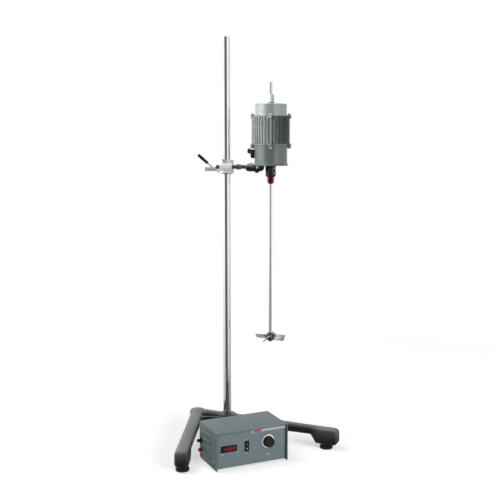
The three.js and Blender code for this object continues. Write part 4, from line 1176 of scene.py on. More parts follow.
@dataclass
class BossHead:
    """The head that turns on the column's bush and holds the arm."""

    site: Site
    barrel: float = 46.0
    bore: float = 31.6
    bottom: float = -19.5
    top: float = 21.0
    rod_offset: float = -26.0
    rod_barrel: float = 24.0
    half_length: float = 19.0
    lug: float = 22.0
    lug_reach: float = -29.5
    screw_drop: float = -7.5
    arm_diameter: float = 12.0
    arm_screw_place: float = -8.0
    lever_root: float = -37.0
    lever_slope: float = 41.0
    lever_reach: float = 65.5
    grip_length: float = 40.0

    def head(self) -> Shape:
        """The bright head with its barrels."""
        barrel = rod(self.barrel, self.bottom, self.top, 2.0, 96)
        cheek = block((self.rod_barrel, -self.rod_offset, self.rod_barrel), (0, self.rod_offset / 2, 0))
        arm_barrel = rod(self.rod_barrel, -self.half_length, self.half_length, 2.0, 72)
        arm_barrel.to_right().moved(0, self.rod_offset)
        lug = rod(self.lug, self.lug_reach, 0, 1.4, 72).to_right().moved(0, 0, self.screw_drop)
        body = barrel.plus(cheek, arm_barrel, lug).recast(0.7, 5)
        cuts = [
            rod(self.bore, self.bottom - 3, self.top + 3, segments=96),
            rod(self.arm_diameter + CLEARANCE, -30, 30).to_right().moved(0, self.rod_offset),
            rod(13.1, self.lug_reach - 3, 0).to_right().moved(0, 0, self.screw_drop),
            rod(6.6, 3, 20).moved(self.arm_screw_place, self.rod_offset),
        ]
        return body.minus(*cuts)

    def bush(self) -> Shape:
        """The split bush that slides on the column."""
        ring = [(14, -23), (19, -23), (19, -20), (15.5, -20), (15.5, 21.5), (13, 21.5), (13, -23), (14, -23)]
        return lathe(eased(ring, 0.5), 96).minus(block((2, 20, 60), (0, 19, 0)))

    def sloped(self, shape: Shape) -> Shape:
        """Sets what stands on +Z on the clamp screw, at the lever's slope."""
        return shape.turned(Axis.Y, self.lever_slope - 90).moved(self.lever_root, 0, self.screw_drop)

    def clamp_screw(self) -> Shape:
        """The clamp screw's bar, with a groove at its end and its bearing tip."""
        profile = [
            (0, -67), (5.2, -67), (6.25, -65.8), (6.25, -62.5), (5.8, -62), (5.8, -61), (6.25, -60.5),
            (6.25, -19.8), (4.5, -19.8), (4.5, -15.8), (0, -15.8),
        ]
        bar = lathe(eased(profile, 0.3), 64).to_right().moved(0, 0, self.screw_drop)
        return bar.minus(self.sloped(rod(5.1, 0, 14)))

    def lever(self) -> Shape:
        """The lever's thin rod."""
        return self.sloped(rod(4.5, 0.3, self.lever_reach - 0.3, 0.5))

    def grip(self) -> Shape:
        """The ribbed black grip on the lever."""
        end = self.lever_reach + 2
        low = end - self.grip_length
        profile = [(0, self.lever_reach), (2.55, self.lever_reach), (2.55, low), (4.2, low), (5, low + 2)]
        for ring in range(5):
            start = low + 5 + ring * 2.4
            profile += [(5, start), (4.6, start + 0.5), (4.6, start + 1.2), (5, start + 1.7)]
        profile += [(5, end - 5), (4.6, end - 2.4), (3.6, end - 0.8), (2, end), (0, end)]
        return self.sloped(lathe(eased(profile, 0.3), 48))

    def arm_screw(self) -> Shape:
        """The small knurled screw on top of the head."""
        shank = rod(6, 6.3, 18.2)
        head = rod(8, 18, 23, 0.5)
        knurl = COPIES.set_out(block((0.5, 0.5, 6), (4.05, 0, 20.5)).turned(Axis.Z, 45), 24, turn=15)
        slot = block((10, 1.2, 2), (0, 0, 23))
        screw = head.minus(slot).minus(knurl).plus(shank)
        return screw.moved(self.arm_screw_place, self.rod_offset)

    def arm(self) -> Shape:
        """The arm's round bar."""
        return rod(self.arm_diameter, -31, 79, 1.0, 64).to_right().moved(0, self.rod_offset)

    def collar(self) -> Shape:
        """The waisted stop collar on the arm."""
        ring = [
            (6.8, 30), (7.3, 30), (7.6, 32), (8.5, 35.6), (8.5, 41.4), (7.6, 45), (7.3, 47), (6.3, 47),
            (6.3, 30), (6.8, 30),
        ]
        return lathe(eased(ring, 1.2, 4), 64).to_right().moved(0, self.rod_offset)

    def build(self) -> None:
        """Makes the pieces on the column."""
        make_piece(self.bush(), "split_bush", self.site, Finishes.ZINC, "carriage", "column_bush")
        make_piece(self.head(), "chromed_head", self.site, Finishes.CHROME, "boss", "boss_head", sharp=60)
        make_piece(self.clamp_screw(), "clamp_bar", self.site, Finishes.BAR, "clamp", "clamp_screw")
        make_piece(self.lever(), "lever_rod", self.site, Finishes.ZINC, "clamp", "clamp_lever")
        make_piece(self.grip(), "lever_handle", self.site, Finishes.HANDLE, "clamp", "lever_grip")
        make_piece(self.arm_screw(), "arm_lock_screw", self.site, Finishes.ZINC, "arm_lock", "arm_screw")
        make_piece(self.arm(), "arm_bar", self.site, Finishes.ARM, "arm", "arm_rod")
        make_piece(self.collar(), "arm_stop_collar", self.site, Finishes.ARM, "arm", "arm_collar")


# Motor


@dataclass
class Motor:
    """The finned motor on its bracket; heights run up from the underside of its bell."""

    site: Site
    arm_site: Site
    bell: float = 101.0
    flange: float = 109.0
    cap: float = 97.0
    wall: float = 4.0
    bell_top: float = 64.0
    frame_bottom: float = 64.3
    frame_top: float = 148.3
    cap_bottom: float = 148.6
    cap_top: float = 185.6
    hub_top: float = 191.6
    fin_root: float = 103.0
    fin_tip: float = 114.0
    fins: int = 36
    bolt_circle: float = 112.4
    lug: float = 12.0
    lug_height: float = 6.0
    low_ear: float = 8.0
    high_ear: float = 3.2

    def lugs(self, bottom: float, top: float) -> Shape:
        """Four ears for the tie bolts.

        Args:
            bottom: Height of their lower faces.
            top: Height of their upper faces.

        Returns:
            The four ears, drilled.
        """
        reach, start = self.bolt_circle / 2, self.cap / 2 - self.wall + 0.6
        edge = rod(self.lug, bottom, top, 0.7).moved(reach)
        web = block((reach - start, self.lug, top - bottom), ((reach + start) / 2, 0, (bottom + top) / 2))
        ear = edge.plus(web.bevelled(0.6)).minus(rod(5.6, bottom - 2, top + 2).moved(reach))
        return COPIES.set_out(ear, 4, turn=90)

    def lower_bell(self) -> Shape:
        """The lower bell with its seat for the bearing."""
        outer, inner, flange = self.bell / 2, self.bell / 2 - self.wall, self.flange / 2
        ring = [
            (30, 0), (flange - 2, 0), (flange, 1.2), (flange, 3.4), (outer + 1, 5), (outer, 7.5),
            (outer, 60.5), (outer + 0.8, 61.5), (outer + 0.8, self.bell_top), (inner, self.bell_top),
            (inner, 6), (21.8, 6),
            (21.8, 16.3), (17.8, 16.3), (17.8, 5.7), (7.6, 5.7), (7.6, 0), (30, 0),
        ]
        shell = lathe(eased(ring, 0.8), 128)
        ears = self.lugs(self.bell_top - self.low_ear, self.bell_top)
        room = tube(44, 2 * inner, 6.2, self.bell_top + 2, 0.1)
        return shell.plus(ears).minus(room)

    def finned_frame(self) -> Shape:
        """The frame with its cooling fins and the channels for the tie bolts."""
        bore = self.fin_root - 2 * self.wall
        shell = tube(bore, self.fin_root, self.frame_bottom, self.frame_top, 0.3, 144)
        root, tip = self.fin_root / 2 - 0.8, self.fin_tip / 2
        section = [
            (root, -1.7), (root + 1.4, -1.35), (tip, -0.75), (tip, 0.75), (root + 1.4, 1.35), (root, 1.7),
        ]
        fin = prism(closed(section, 0.5, 2), self.frame_bottom + 0.4, self.frame_top - 0.4)
        step = 360 / self.fins
        field = COPIES.set_out(fin.turned(Axis.Z, step), self.fins // 4 - 1, turn=step)
        finned = shell.plus(COPIES.set_out(field, 4, turn=90))
        low_ears = self.lugs(self.frame_bottom, self.frame_bottom + 2.5)
        high_ears = self.lugs(self.frame_top - self.lug_height, self.frame_top)
        room = tube(20, bore, self.frame_bottom - 2, self.frame_top + 2, 0.1, 144)
        return finned.plus(low_ears, high_ears).minus(room)

    def upper_cap(self) -> Shape:
        """The upper cap with its hub."""
        outer, inner = self.cap / 2, self.cap / 2 - self.wall
        roof = self.cap_top - self.wall
        ring = [
            (inner + 1, self.cap_bottom), (outer + 0.8, self.cap_bottom), (outer + 0.8, self.cap_bottom + 3),
            (outer, self.cap_bottom + 4), (outer, self.cap_top - 1.6), (outer - 2, self.cap_top),
            (13, self.cap_top), (11, self.cap_top + 1), (11, self.hub_top), (7.6, self.hub_top), (7.6, 178.9),
            (17.8, 178.9), (17.8, 168.3), (21.8, 168.3), (21.8, roof), (inner, roof),
            (inner, self.cap_bottom), (inner + 1, self.cap_bottom),
        ]
        shell = lathe(eased(ring, 1.0), 128)
        ears = self.lugs(self.cap_bottom, self.cap_bottom + self.high_ear)
        room = tube(44, 2 * inner, self.cap_bottom - 2, roof - 0.2, 0.1)
        return shell.plus(ears).minus(room)

    def tie_bolt(self, angle: float) -> Shape:
        """One tie bolt with a washer under each head.

        Args:
            angle: Where it stands, in degrees.

        Returns:
            The bolt, at its place.
        """
        low, high = self.bell_top - self.low_ear, self.cap_bottom + self.high_ear
        shank = rod(5, low - 3.5, high + 3.5)
        heads = [
            hexagon(9, high + 1, high + 4.6, 0.5), hexagon(9, low - 4.6, low - 1, 0.5),
            rod(10.5, high + 0.1, high + 1.1, 0.2), rod(10.5, low - 1.1, low - 0.1, 0.2),
        ]
        bolt = shank.plus(*heads)
        return bolt.moved(self.bolt_circle / 2).turned(Axis.Z, angle)

    def terminal_block(self) -> Shape:
        """The terminal block with its cover's seam and screw."""
        section = [(-61.4, 27), (-58.6, 22.5), (-49, 22.5), (-49, 49), (-61.4, 49)]
        body = prism(section, -12, 12).to_front().bevelled(1.2, 3)
        seam = block((0.5, 30, 40), (-56.5, 0, 35)).minus(block((2, 22.8, 25.1), (-56.5, 0, 35.8)))
        bell = rod(2 * 50.8, 0, self.bell_top, segments=128)
        return body.minus(bell).minus(seam)

    def gland(self) -> Shape:
        """The cable gland on the terminal block."""
        profile = [(3.6, 66.6), (6.8, 66.6), (6.8, 67.6), (5.9, 70.4), (4.9, 71.1), (3.6, 71.1), (3.6, 66.6)]
        nut = hexagon(15, 62.1, 66.8, 0.7).minus(rod(7.2, 60, 72))
        return nut.plus(lathe(eased(profile, 0.4), 48)).turned(Axis.Y, -90).moved(0, 0, 44)

    def bracket(self) -> Shape:
        """The bracket: a socket for the arm that steps down under the bell."""
        section = [
            (63, -11), (70, -13.5), (107, -13.5), (115, -10), (118, -3), (118, 3.7), (82.2, 3.7), (82.2, 12),
            (72, 12), (63, 8), (61, 2), (61, -7),
        ]
        body = prism(closed(section, 3.5, 4), -23, 23).to_front().bevelled(2.2, 4, 35)
        arm = rod(12.6, 55, 79.3).to_right()
        slit = block((15, 30, 1.6), (66, -14, -1))
        holes = [rod(6.6, -16, 6).moved(95.2, side * 15) for side in (-1, 1)]
        return body.minus(arm, slit, *holes).moved(0, -26)

    def bracket_bolt(self, side: int) -> Shape:
        """A bolt that holds the bracket to the bell.

        Args:
            side: -1 for the front one, 1 for the rear one.

        Returns:
            The bolt, at its place.
        """
        shank = rod(6, -14.2, 7)
        washer = rod(12.5, -14.9, -13.8, 0.2)
        return shank.plus(washer, hexagon(10, -17.8, -14.7, 0.6)).moved(95.2, side * 15 - 26)

    def clamp_bolt(self) -> Shape:
        """The bright screw on the bracket's front that pinches the arm."""
        drive = hexagon(3, 3.4, 8)
        return rod(6.5, 0, 5.2, 0.7).minus(drive).to_front().moved(97, -49, -0.6)

    def build(self) -> None:
        """Makes the motor's and the bracket's pieces."""
        site, body = self.site, "head"
        make_piece(self.lower_bell(), "enamelled_bell", site, Finishes.MOTOR, body, "lower_bell")
        # Painted shade in the fins' grooves, deepest on the side away from the light
        on_fins = FinPaint("grey enamel on fins", "motor_paint", (0.47, 0.52, 0.51), 0.42, coat=0.0,
                           metal=0.1, gloss=0.3, wear=0.06, hollows=0.008, hollow_shade=0.03, axis=site.origin[:2])
        make_piece(self.finned_frame(), "enamelled_frame", site, on_fins, body, "finned_frame")
        make_piece(self.upper_cap(), "silver_cap", site, Finishes.CAP, body, "upper_cap")
        for number in range(4):
            bolt, name = self.tie_bolt(number * 90), f"tie_bolt_finished_{number + 1}"
            make_piece(bolt, name, site, Finishes.BOLT, body, f"tie_bolt_{number + 1}")
        make_piece(self.terminal_block(), "terminal_box", site, Finishes.PLASTIC, body, "terminal_block")
        make_piece(self.gland(), "terminal_gland", site, Finishes.PLASTIC, body, "motor_gland")
        arm_site = self.arm_site
        axis = arm_site.origin[2]
        # Painted sheen: the bracket is light grey above the arm's axis and near black below it and on its
        # underside
        paint = CastingPaint("satin black bracket", "black_steel", (0.45, 0.46, 0.46), 0.34, low=axis - 0.004,
                             high=axis + 0.012, turning=(-1.0, -0.9), depth=0.00006)
        make_piece(self.bracket(), "black_bracket", arm_site, paint, body, "motor_bracket")
        for side, place in ((-1, "front"), (1, "rear")):
            node = f"bracket_bolt_{place}"
            make_piece(self.bracket_bolt(side), f"hex_{node}", arm_site, Finishes.CHUCK, body, node)
        make_piece(self.clamp_bolt(), "bracket_pinch_screw", arm_site, Finishes.CHROME, body)
        for node in ("bearing_lower", "bearing_upper"):
            dress_node(node, Finishes.BEARING)
        for node in ("magnet_front", "magnet_rear"):
            dress_node(node, Finishes.FERRITE)
        for side in ("right", "left"):
            dress_node(f"brush_{side}", Finishes.CARBON)
            dress_node(f"brush_holder_{side}", Finishes.PLASTIC)


@dataclass
class Spindle:
    """The hollow spindle with its collar and chuck, and the stirring rod in it."""

    site: Site
    rod_site: Site
    bore: float = 10.8
    diameter: float = 14.0
    collar_bottom: float = 191.9
    collar_top: float = 213.9
    rod_diameter: float = 10.0
    rod_bottom: float = 319.0
    rod_top: float = 1112.7
    blade_height: float = 327.0
    blade_width: float = 22.0
    blade_thickness: float = 2.6
    blade_turn: float = 70.0
    blade_pitch: float = 42.0
    tip: float = 47.5
    screw_heights: Point = (-9.0, -22.0)
    screw_turn: float = -46.0

    def collar(self) -> Shape:
        """The white collar on top of the spindle."""
        ring = [
            (5.3, self.collar_top), (5.3, 202.9), (7.3, 202.9), (7.3, self.collar_bottom),
            (8.2, self.collar_bottom), (9, self.collar_bottom + 0.8), (9, 205), (8.6, 205.4), (8.6, 206.2),
            (9, 206.6), (9, self.collar_top - 1), (8, self.collar_top), (5.3, self.collar_top),
        ]
        return lathe(eased(ring, 0.3), 64)

    def collar_screw(self) -> Shape:
        """The small screw in the collar's side."""
        screw = rod(3.6, 0, 3.4, 0.4, 24).minus(block((4, 0.8, 1.4), (0, 0, 3.4)))
        return screw.to_right().moved(7.2, 0, 199).turned(Axis.Z, -30)

    def chuck(self) -> Shape:
        """The chuck's black body, with the holes for its set screws."""
        ring = [
            (12, -0.4), (16, -0.4), (16, -30), (12.5, -35), (8.5, -35), (8.5, -44), (5.3, -44), (5.3, -28.3),
            (7.3, -28.3), (7.3, -0.4), (12, -0.4),
        ]
        body = lathe(eased(ring, 0.7), 72)
        return body.minus(*(self.radial(rod(6, 11, 20), height) for height in self.screw_heights))

    def radial(self, shape: Shape, height: float) -> Shape:
        """Lays what stands on +Z along the chuck's front radius at a height."""
        return shape.to_right().turned(Axis.Z, self.screw_turn).moved(0, 0, height)

    def set_screws(self) -> Shape:
        """The chuck's two bright set screws."""
        screws = []
        for height in self.screw_heights:
            screw = rod(5.6, 10.5, 16.6, 0.6, 32).minus(hexagon(2.6, 14.6, 18, 0.1))
            screws.append(self.radial(screw, height))
        return screws[0].beside(screws[1])

    def nut(self) -> Shape:
        """The red chuck nut."""
        flat_nut = hexagon(19, -56, -35.3, 1.2)
        taper = [(0, -56), (6.5, -56), (10.75, -49), (10.75, -36.4), (9.8, -35.3), (0, -35.3)]
        body = flat_nut.within(lathe(eased(taper, 0.6), 96)).bevelled(0.35, 2, 25)
        return body.minus(rod(17.6, -44.3, -33), rod(15.6, -53, -42), rod(10.6, -58, -50))

    def collet(self) -> Shape:
        """The slotted collet in the nut."""
        ring = [(6, -52.7), (6.5, -52.7), (7.5, -51.7), (7.5, -44.6), (5.3, -44.6), (5.3, -52.7), (6, -52.7)]
        slots = COPIES.set_out(block((6, 0.8, 6), (7, 0, -50)), 6, turn=60)
        return lathe(eased(ring, 0.3), 48).minus(slots)

    def stirring_rod(self) -> Shape:
        """The long stirring rod."""
        return rod(self.rod_diameter, self.rod_bottom, self.rod_top, 1.5, 64)

    def impeller(self) -> Shape:
        """The impeller: hub and pitched blades."""
        profile = [(0, 313), (5.2, 313), (8.5, 317), (10.5, 319), (10.5, 338), (9.5, 340), (0, 340)]
        hub = lathe(eased(profile, 0.8), 72)
        half = self.blade_width / 2
        outline = closed([(6.5, -half), (self.tip, -half), (self.tip, half), (6.5, half)], 2.2, 4)
        blade = prism(outline, -self.blade_thickness / 2, self.blade_thickness / 2).bevelled(0.5)
        blade.turned(Axis.X, self.blade_pitch).moved(0, 0, self.blade_height).turned(Axis.Z, self.blade_turn)
        ring = COPIES.set_out(blade, 4, turn=90)
        return hub.plus(ring).minus(rod(10.6, 318.7, 345))

    def hub_screw(self) -> Shape:
        """The set screw in the impeller's hub."""
        screw = rod(4, 6.5, 10.9, 0.4, 24).minus(hexagon(2, 9.4, 12, 0.1))
        return screw.to_right().turned(Axis.Z, 25).moved(0, 0, 336.4)

    def build(self) -> None:
        """Makes the turning pieces."""
        site, body = self.site, "rotor"
        spindle = tube(self.bore, self.diameter, -28, 202.6, 0.3, 64)
        make_piece(spindle, "ground_spindle", site, Finishes.BEARING, body, "hollow_spindle")
        make_piece(self.collar(), "white_collar", site, Finishes.WHITE, body, "spindle_collar")
        make_piece(self.collar_screw(), "collar_set_screw", site, Finishes.ZINC, body)
        make_piece(self.chuck(), "black_chuck", site, Finishes.CHUCK, body, "chuck_body")
        make_piece(self.set_screws(), "chuck_set_screws", site, Finishes.BEARING, body)
        make_piece(self.collet(), "slotted_collet", site, Finishes.ZINC, body, "collet")
        make_piece(self.nut(), "red_chuck_nut", site, Finishes.NUT, "nut", "chuck_nut")
        dress_node("armature", Finishes.STACK)
        dress_node("commutator", Finishes.COPPER)
        site, body = self.rod_site, "stirring"
        make_piece(self.stirring_rod(), "stirring_rod", site, Finishes.ROD, body, "stirrer_rod")
        # Painted shade darkens the blades near the hub
        blades = RootShadedBlade("brushed impeller", "stainless", (0.72, 0.7, 0.65), 0.24,
                             marks=(900.0, 60.0, 60.0), stain=(0.36, 0.35, 0.26), hub=site.origin[:2])
        make_piece(self.impeller(), "pitched_impeller", site, blades, body, "impeller")
        make_piece(self.hub_screw(), "impeller_set_screw", site, Finishes.ZINC, body)


# Speed controller


@dataclass
class Controller:
    """The speed controller in its bent sheet cabinet; X runs from its middle and Z from the bench."""

    site: Site
    width: float = 225.0
    depth: float = 135.0
    height: float = 113.0
    sheet: float = 1.6
    skirt: float = 2.0
    panel: float = -58.5
    back: float = 63.5
    pan_bottom: float = 6.0
    pan_width: float = 221.2
    pan_top: float = 111.1
    display_place: Point = (-71.7075, 62.0)
    lamp_place: Point = (-46.1925, 89.0)
    switch_place: Point = (-15.5025, 61.5)
    knob_place: Point = (51.9975, 67.0)
    fitting_y: float = 54.0
    gland_z: float = 57.0
    fuse_z: float = 28.5
    strip_z: float = 102.6

    def cover(self) -> Shape:
        """The louvred cover, bent from one sheet."""
        half, low, top, sheet = self.width / 2, self.skirt, self.height, self.sheet
        outside = [(-half, low), (-half, top), (half, top), (half, low)]
        bore, roof = half - sheet, top - sheet
        inside = [(bore, low), (bore, roof), (-bore, roof), (-bore, low)]
        section = eased(outside, 2.4, 5) + eased(inside, 0.9, 5)
        skin = prism(section, -self.depth / 2, self.depth / 2).to_front().bevelled(0.3, 2, 50)
        holes = [self.on_side(rod(13.6, -4, 4), self.gland_z), self.on_side(rod(12.6, -4, 4), self.fuse_z)]
        return self.louvred(self.louvred(skin, 1), -1).minus(*holes)

    def louvred(self, skin: Shape, side: int) -> Shape:
        """Presses the four louvres into one side.

        Args:
            skin: The cover so far.
            side: 1 for the right side, -1 for the left.

        Returns:
            The cover with that side's louvres.
        """
        outer = [(-1.6, 0), (3.2, 0), (3.1, 1.0), (2.2, 2.9), (0.4, 4.9), (-1.6, 5.8)]
        inner = [(-3, -1), (1.9, -1), (1.8, 0.2), (1.0, 1.8), (-0.9, 3.9), (-3, 3.9)]
        step = Vector((0, 0, -22))
        hood = prism(closed(outer, 0.5, 2), -28.5, 28.5).to_front().bevelled(0.7, 3, 50)
        hollow = prism(inner, -27, 27).to_front()
        for shape in (hood, hollow):
            shape.moved(self.width / 2, 0, 0)
            if side < 0:
                shape.turned(Axis.Z, 180)
            shape.moved(0, 8, 91)
        return skin.plus(COPIES.set_out(hood, 4, step)).minus(COPIES.set_out(hollow, 4, step))

    def pan(self) -> Shape:
        """The pan: front panel, floor with its feet, and back panel."""
        low, top, sheet = self.pan_bottom, self.pan_top, self.sheet
        outside = [(self.panel, top), (self.panel, low), (self.back, low), (self.back, top)]
        inside = [
            (self.back - sheet, top), (self.back - sheet, low + sheet), (self.panel + sheet, low + sheet),
            (self.panel + sheet, top),
        ]
        section = eased(outside, 2.2, 4) + eased(inside, 0.8, 4)
        half = self.pan_width / 2
        body = prism(section, -half, half).to_front().turned(Axis.Z, 90)
        holes = [
            self.front_cut(47.6, 16.6, self.display_place),
            self.front_cut(12.1, 30.1, self.switch_place),
            self.front_hole(5.6, self.lamp_place),
            self.front_hole(10.1, self.knob_place),
        ]
        return body.minus(*holes).plus(self.feet())

    def feet(self) -> Shape:
        """The pan's four pressed feet."""
        top = self.pan_bottom + 1
        profile = [(0, 0), (5.5, 0), (7.2, 3), (8, self.pan_bottom), (8, top), (0, top)]
        foot = lathe(eased(profile, 0.8), 40).moved(-88.6, 2.5 - 39)
        row = COPIES.set_out(foot, 2, Vector((177.2, 0, 0)))
        return COPIES.set_out(row, 2, Vector((0, 78, 0)))

    def front_cut(self, width: float, height: float, place: Point) -> Shape:
        """What a square part takes from the front panel."""
        return block((width, 8, height), (place[0], self.panel, place[1]))

    def front_hole(self, diameter: float, place: Point) -> Shape:
        """What a round part takes from the front panel."""
        return self.on_panel(rod(diameter, -4, 4).to_front(), place)

    def on_side(self, shape: Shape, height: float) -> Shape:
        """Lays what stands on +Z onto the cover's left side, near the back, at a height."""
        return shape.turned(Axis.Y, -90).moved(-self.width / 2, self.fitting_y, height)

    def on_panel(self, shape: Shape, place: Point, proud: float = 0.0) -> Shape:
        """Moves what faces the front at the origin to a place on the front panel."""
        return shape.moved(place[0], self.panel - proud, place[1])

    def display(self) -> Shape:
        """The display's frame round its sunk window."""
        frame_plate = plate(50, 19, 1.2, 1.2).bevelled(0.25, 2, 50)
        module = block((47, 11.6, 16), (0, 5.2, 0))
        window = plate(47, 15, 2, 0.8).moved(0, -0.5)
        return self.on_panel(frame_plate.plus(module).minus(window), self.display_place)

    def digit(self, lit: str) -> tuple[Shape, Optional[Shape]]:
        """One seven-segment digit.

        Args:
            lit: The letters, a to g, of the segments that are lit.

        Returns:
            The lit segments, and the unlit ones or None.
        """
        wide, tall, thick = 5.0, 8.8, 1.15
        bar = closed([(-wide / 2 + 0.7, -thick / 2), (wide / 2 - 0.7, -thick / 2), (wide / 2, 0),
                      (wide / 2 - 0.7, thick / 2), (0.7 - wide / 2, thick / 2), (-wide / 2, 0)], 0.1, 1)
        segment = prism(bar, 0, 0.1).to_front()
        places = {
            "a": (0, tall / 2, 0), "b": (wide / 2, tall / 4, 90), "c": (wide / 2, -tall / 4, 90),
            "d": (0, -tall / 2, 0), "e": (-wide / 2, -tall / 4, 90), "f": (-wide / 2, tall / 4, 90),
            "g": (0, 0, 0),
        }
        groups: dict[bool, list[Shape]] = {True: [], False: []}
        for letter, (x, z, turn) in places.items():
            shape = segment.copy().turned(Axis.Y, turn).moved(x, 0, z)
            groups[letter in lit].append(shape)
        slant = Matrix(((1, 0, 0.12, 0), (0, 1, 0, 0), (0, 0, 1, 0), (0, 0, 0, 1)))
        made = []
        for shapes in (groups[True], groups[False]):
            whole = shapes[0].beside(*shapes[1:]) if shapes else None
            if whole:
                whole.mesh.transform(slant)
            made.append(whole)
        return made[0], made[1]

    def digits(self) -> tuple[Shape, Shape]:
        """The number on the display: its lit segments and its unlit ones."""
        segments = {"1": "bc", "5": "acdfg", "0": "abcdef"}
        lit, unlit = [], []
        for place, character in enumerate("1500"):
            bright, dark = self.digit(segments[character])
            shift = (place - 1.5) * 10.2 + 2
            lit.append(bright.moved(shift))
            if dark:
                unlit.append(dark.moved(shift))
        return lit[0].beside(*lit[1:]), unlit[0].beside(*unlit[1:])

    def bezel(self) -> Shape:
        """The lamp's white bezel."""
        ring = [(3, 0.3), (4.5, 0.3), (4.2, 1.2), (3.4, 1.6), (2.4, 1.6), (2.2, 0.8), (2.2, 0.3), (3, 0.3)]
        return self.on_panel(lathe(eased(ring, 0.2), 40).to_front(), self.lamp_place)

    def lens(self) -> Shape:
        """The lamp's red lens."""
        profile = [(0, -9), (1.9, -9), (1.9, 1.6), (1.6, 2.3), (0.9, 2.75), (0, 2.85)]
        return self.on_panel(lathe(eased(profile, 0.2), 32).to_front(), self.lamp_place)

    def switch_frame(self) -> Shape:
        """The rocker switch's housing with its well."""
        rim = plate(13.5, 31.5, 1.4, 1.4).bevelled(0.4, 2, 50)
        body = block((11.5, 16.6, 29.5), (0, 8, 0))
        well = block((9.5, 13, 27.5), (0, -0.5, 0))
        return self.on_panel(rim.plus(body).minus(well), self.switch_place)

    def rocker(self) -> Shape:
        """The rocker with its shallow V face."""
        section = [
            (4.2, -6.5), (4.2, 6.5), (0.7, 12.7), (-1.3, 12), (0.2, 0.4), (0.2, -0.4), (-1.3, -12),
            (0.7, -12.7),
        ]
        shifted = [(depth - 1.9, height) for depth, height in section]
        body = prism(closed(shifted, 0.5, 3), -4.4, 4.4).to_front().turned(Axis.Z, 90)
        return self.on_panel(body.bevelled(0.3, 2, 40), self.switch_place)

    def rocker_marks(self) -> Shape:
        """The white bar and ring on the rocker's two halves, laid on their slopes."""
        bar = block((0.8, 0.1, 3.2), (0, 0, 0)).turned(Axis.X, 7.4).moved(0, -2.63, 7.2)
        ring = tube(2.0, 3.6, -0.05, 0.05, 0.01, 32).to_front()
        ring.turned(Axis.X, -7.4).moved(0, -2.63, -7.2)
        return self.on_panel(bar.beside(ring), self.switch_place)

    def knob(self) -> Shape:
        """The fluted knob over its skirt, with a dished face."""
        profile = [
            (0, 2.1), (16.6, 2.1), (16.6, 3.7), (15.8, 5.2), (15.6, 13.6), (14.6, 15.4), (13.2, 16.1),
            (11.6, 15.5), (0, 15.1),
        ]
        body = lathe(eased(profile, 0.6), 128)
        flute = rod(3, 6, 20, 0.2, 24).moved(16.6)
        body = body.minus(COPIES.set_out(flute, 20, turn=18))
        bore = rod(6.6, 0, 13.4)
        return self.on_panel(body.minus(bore).to_front(), self.knob_place)

    def pointer(self) -> Shape:
        """The knob's pale pointer line."""
        line = block((0.8, 0.1, 5), (0, -15.3, 8.6)).turned(Axis.Y, -48)
        return self.on_panel(line, self.knob_place)

    def dial(self) -> Shape:
        """The bright dial ring behind the knob."""
        return self.on_panel(tube(10.4, 42, 0.3, 1.5, 0.35, 96).to_front(), self.knob_place)

    def dial_ticks(self) -> Shape:
        """The fine ticks round the dial ring."""
        tick = block((1.6, 0.3, 0.06), (19.8, 0, 1.52)).turned(Axis.Z, -45)
        ticks = COPIES.set_out(tick, 28, turn=10)
        return self.on_panel(ticks.to_front(), self.knob_place)

    def strip(self) -> Shape:
        """The bare pale strip along the panel's top."""
        return self.on_panel(plate(110, 7.6, 0.5, 3.4).bevelled(0.12, 1, 50), (54.5, self.strip_z))

    def strip_block(self) -> Shape:
        """The plain red block at the strip's left end."""
        return self.on_panel(plate(26, 5.4, 0.62, 1.2), (17.5, self.strip_z))

    def printing(self) -> Shape:
        """The plain words and marks printed on the panel."""
        words = [
            (lettering("ON", 3.0), (-16.4, 81.5)), (lettering("OFF", 3.0), (-16.6, 41.0)),
            (plate(6.0, 1.5, INK_DEPTH, 0.5), (-92.0, 47.5)),
            (plate(3.4, 1.5, INK_DEPTH, 0.5), (-46.5, 48.5)),
            (plate(6.2, 1.7, INK_DEPTH, 0.5), (50.0, 28.0)),
            (plate(1.5, 1.5, INK_DEPTH, 0.5), (55.6, 28.0)),
        ]
        placed = [self.on_panel(shape, place, 0.04) for shape, place in words]
        return placed[0].beside(*placed[1:])

    def screw(self, side: int, y: float, z: float) -> Shape:
        """A cross-headed screw in the cover's side.

        Args:
            side: 1 for the right side, -1 for the left.
            y: Its place along the cover.
            z: Its height.

        Returns:
            The screw, at its place.
        """
        profile = [(0, -4), (1.6, -4), (1.6, 0), (3.4, 0), (3.3, 0.9), (2.4, 1.9), (0, 2.2)]
        head = lathe(eased(profile, 0.3), 32)
        cross = block((3.6, 0.7, 1.6), (0, 0, 2.2))
        head = head.minus(cross).minus(cross.copy().turned(Axis.Z, 90))
        return head.turned(Axis.Y, 90 * side).moved(side * self.width / 2, y, z)

    def screws(self) -> Shape:
        """The cover's screws, two a side."""
        placed = [self.screw(side, y, 14.0) for side in (-1, 1) for y in (-44.0, 52.0)]
        return placed[0].beside(*placed[1:])

    def cable_gland(self) -> Shape:
        """The gland in the cover's left side, ribbed like a strain relief."""
        nut = hexagon(15, 0.3, 3, 0.6)
        profile = [(0, -10.6), (6.5, -10.6), (6.5, 0.4), (5.4, 0.4), (5.2, 4)]
        for ring in range(4):
            start = 4.4 + ring * 1.7
            profile += [(4.7, start), (4.7, start + 0.6), (5.1, start + 1.0)]
        profile += [(4.6, 12), (0, 12)]
        body = lathe(eased(profile, 0.25), 56).plus(nut).minus(rod(6.5, -12, 14))
        return self.on_side(body, self.gland_z)

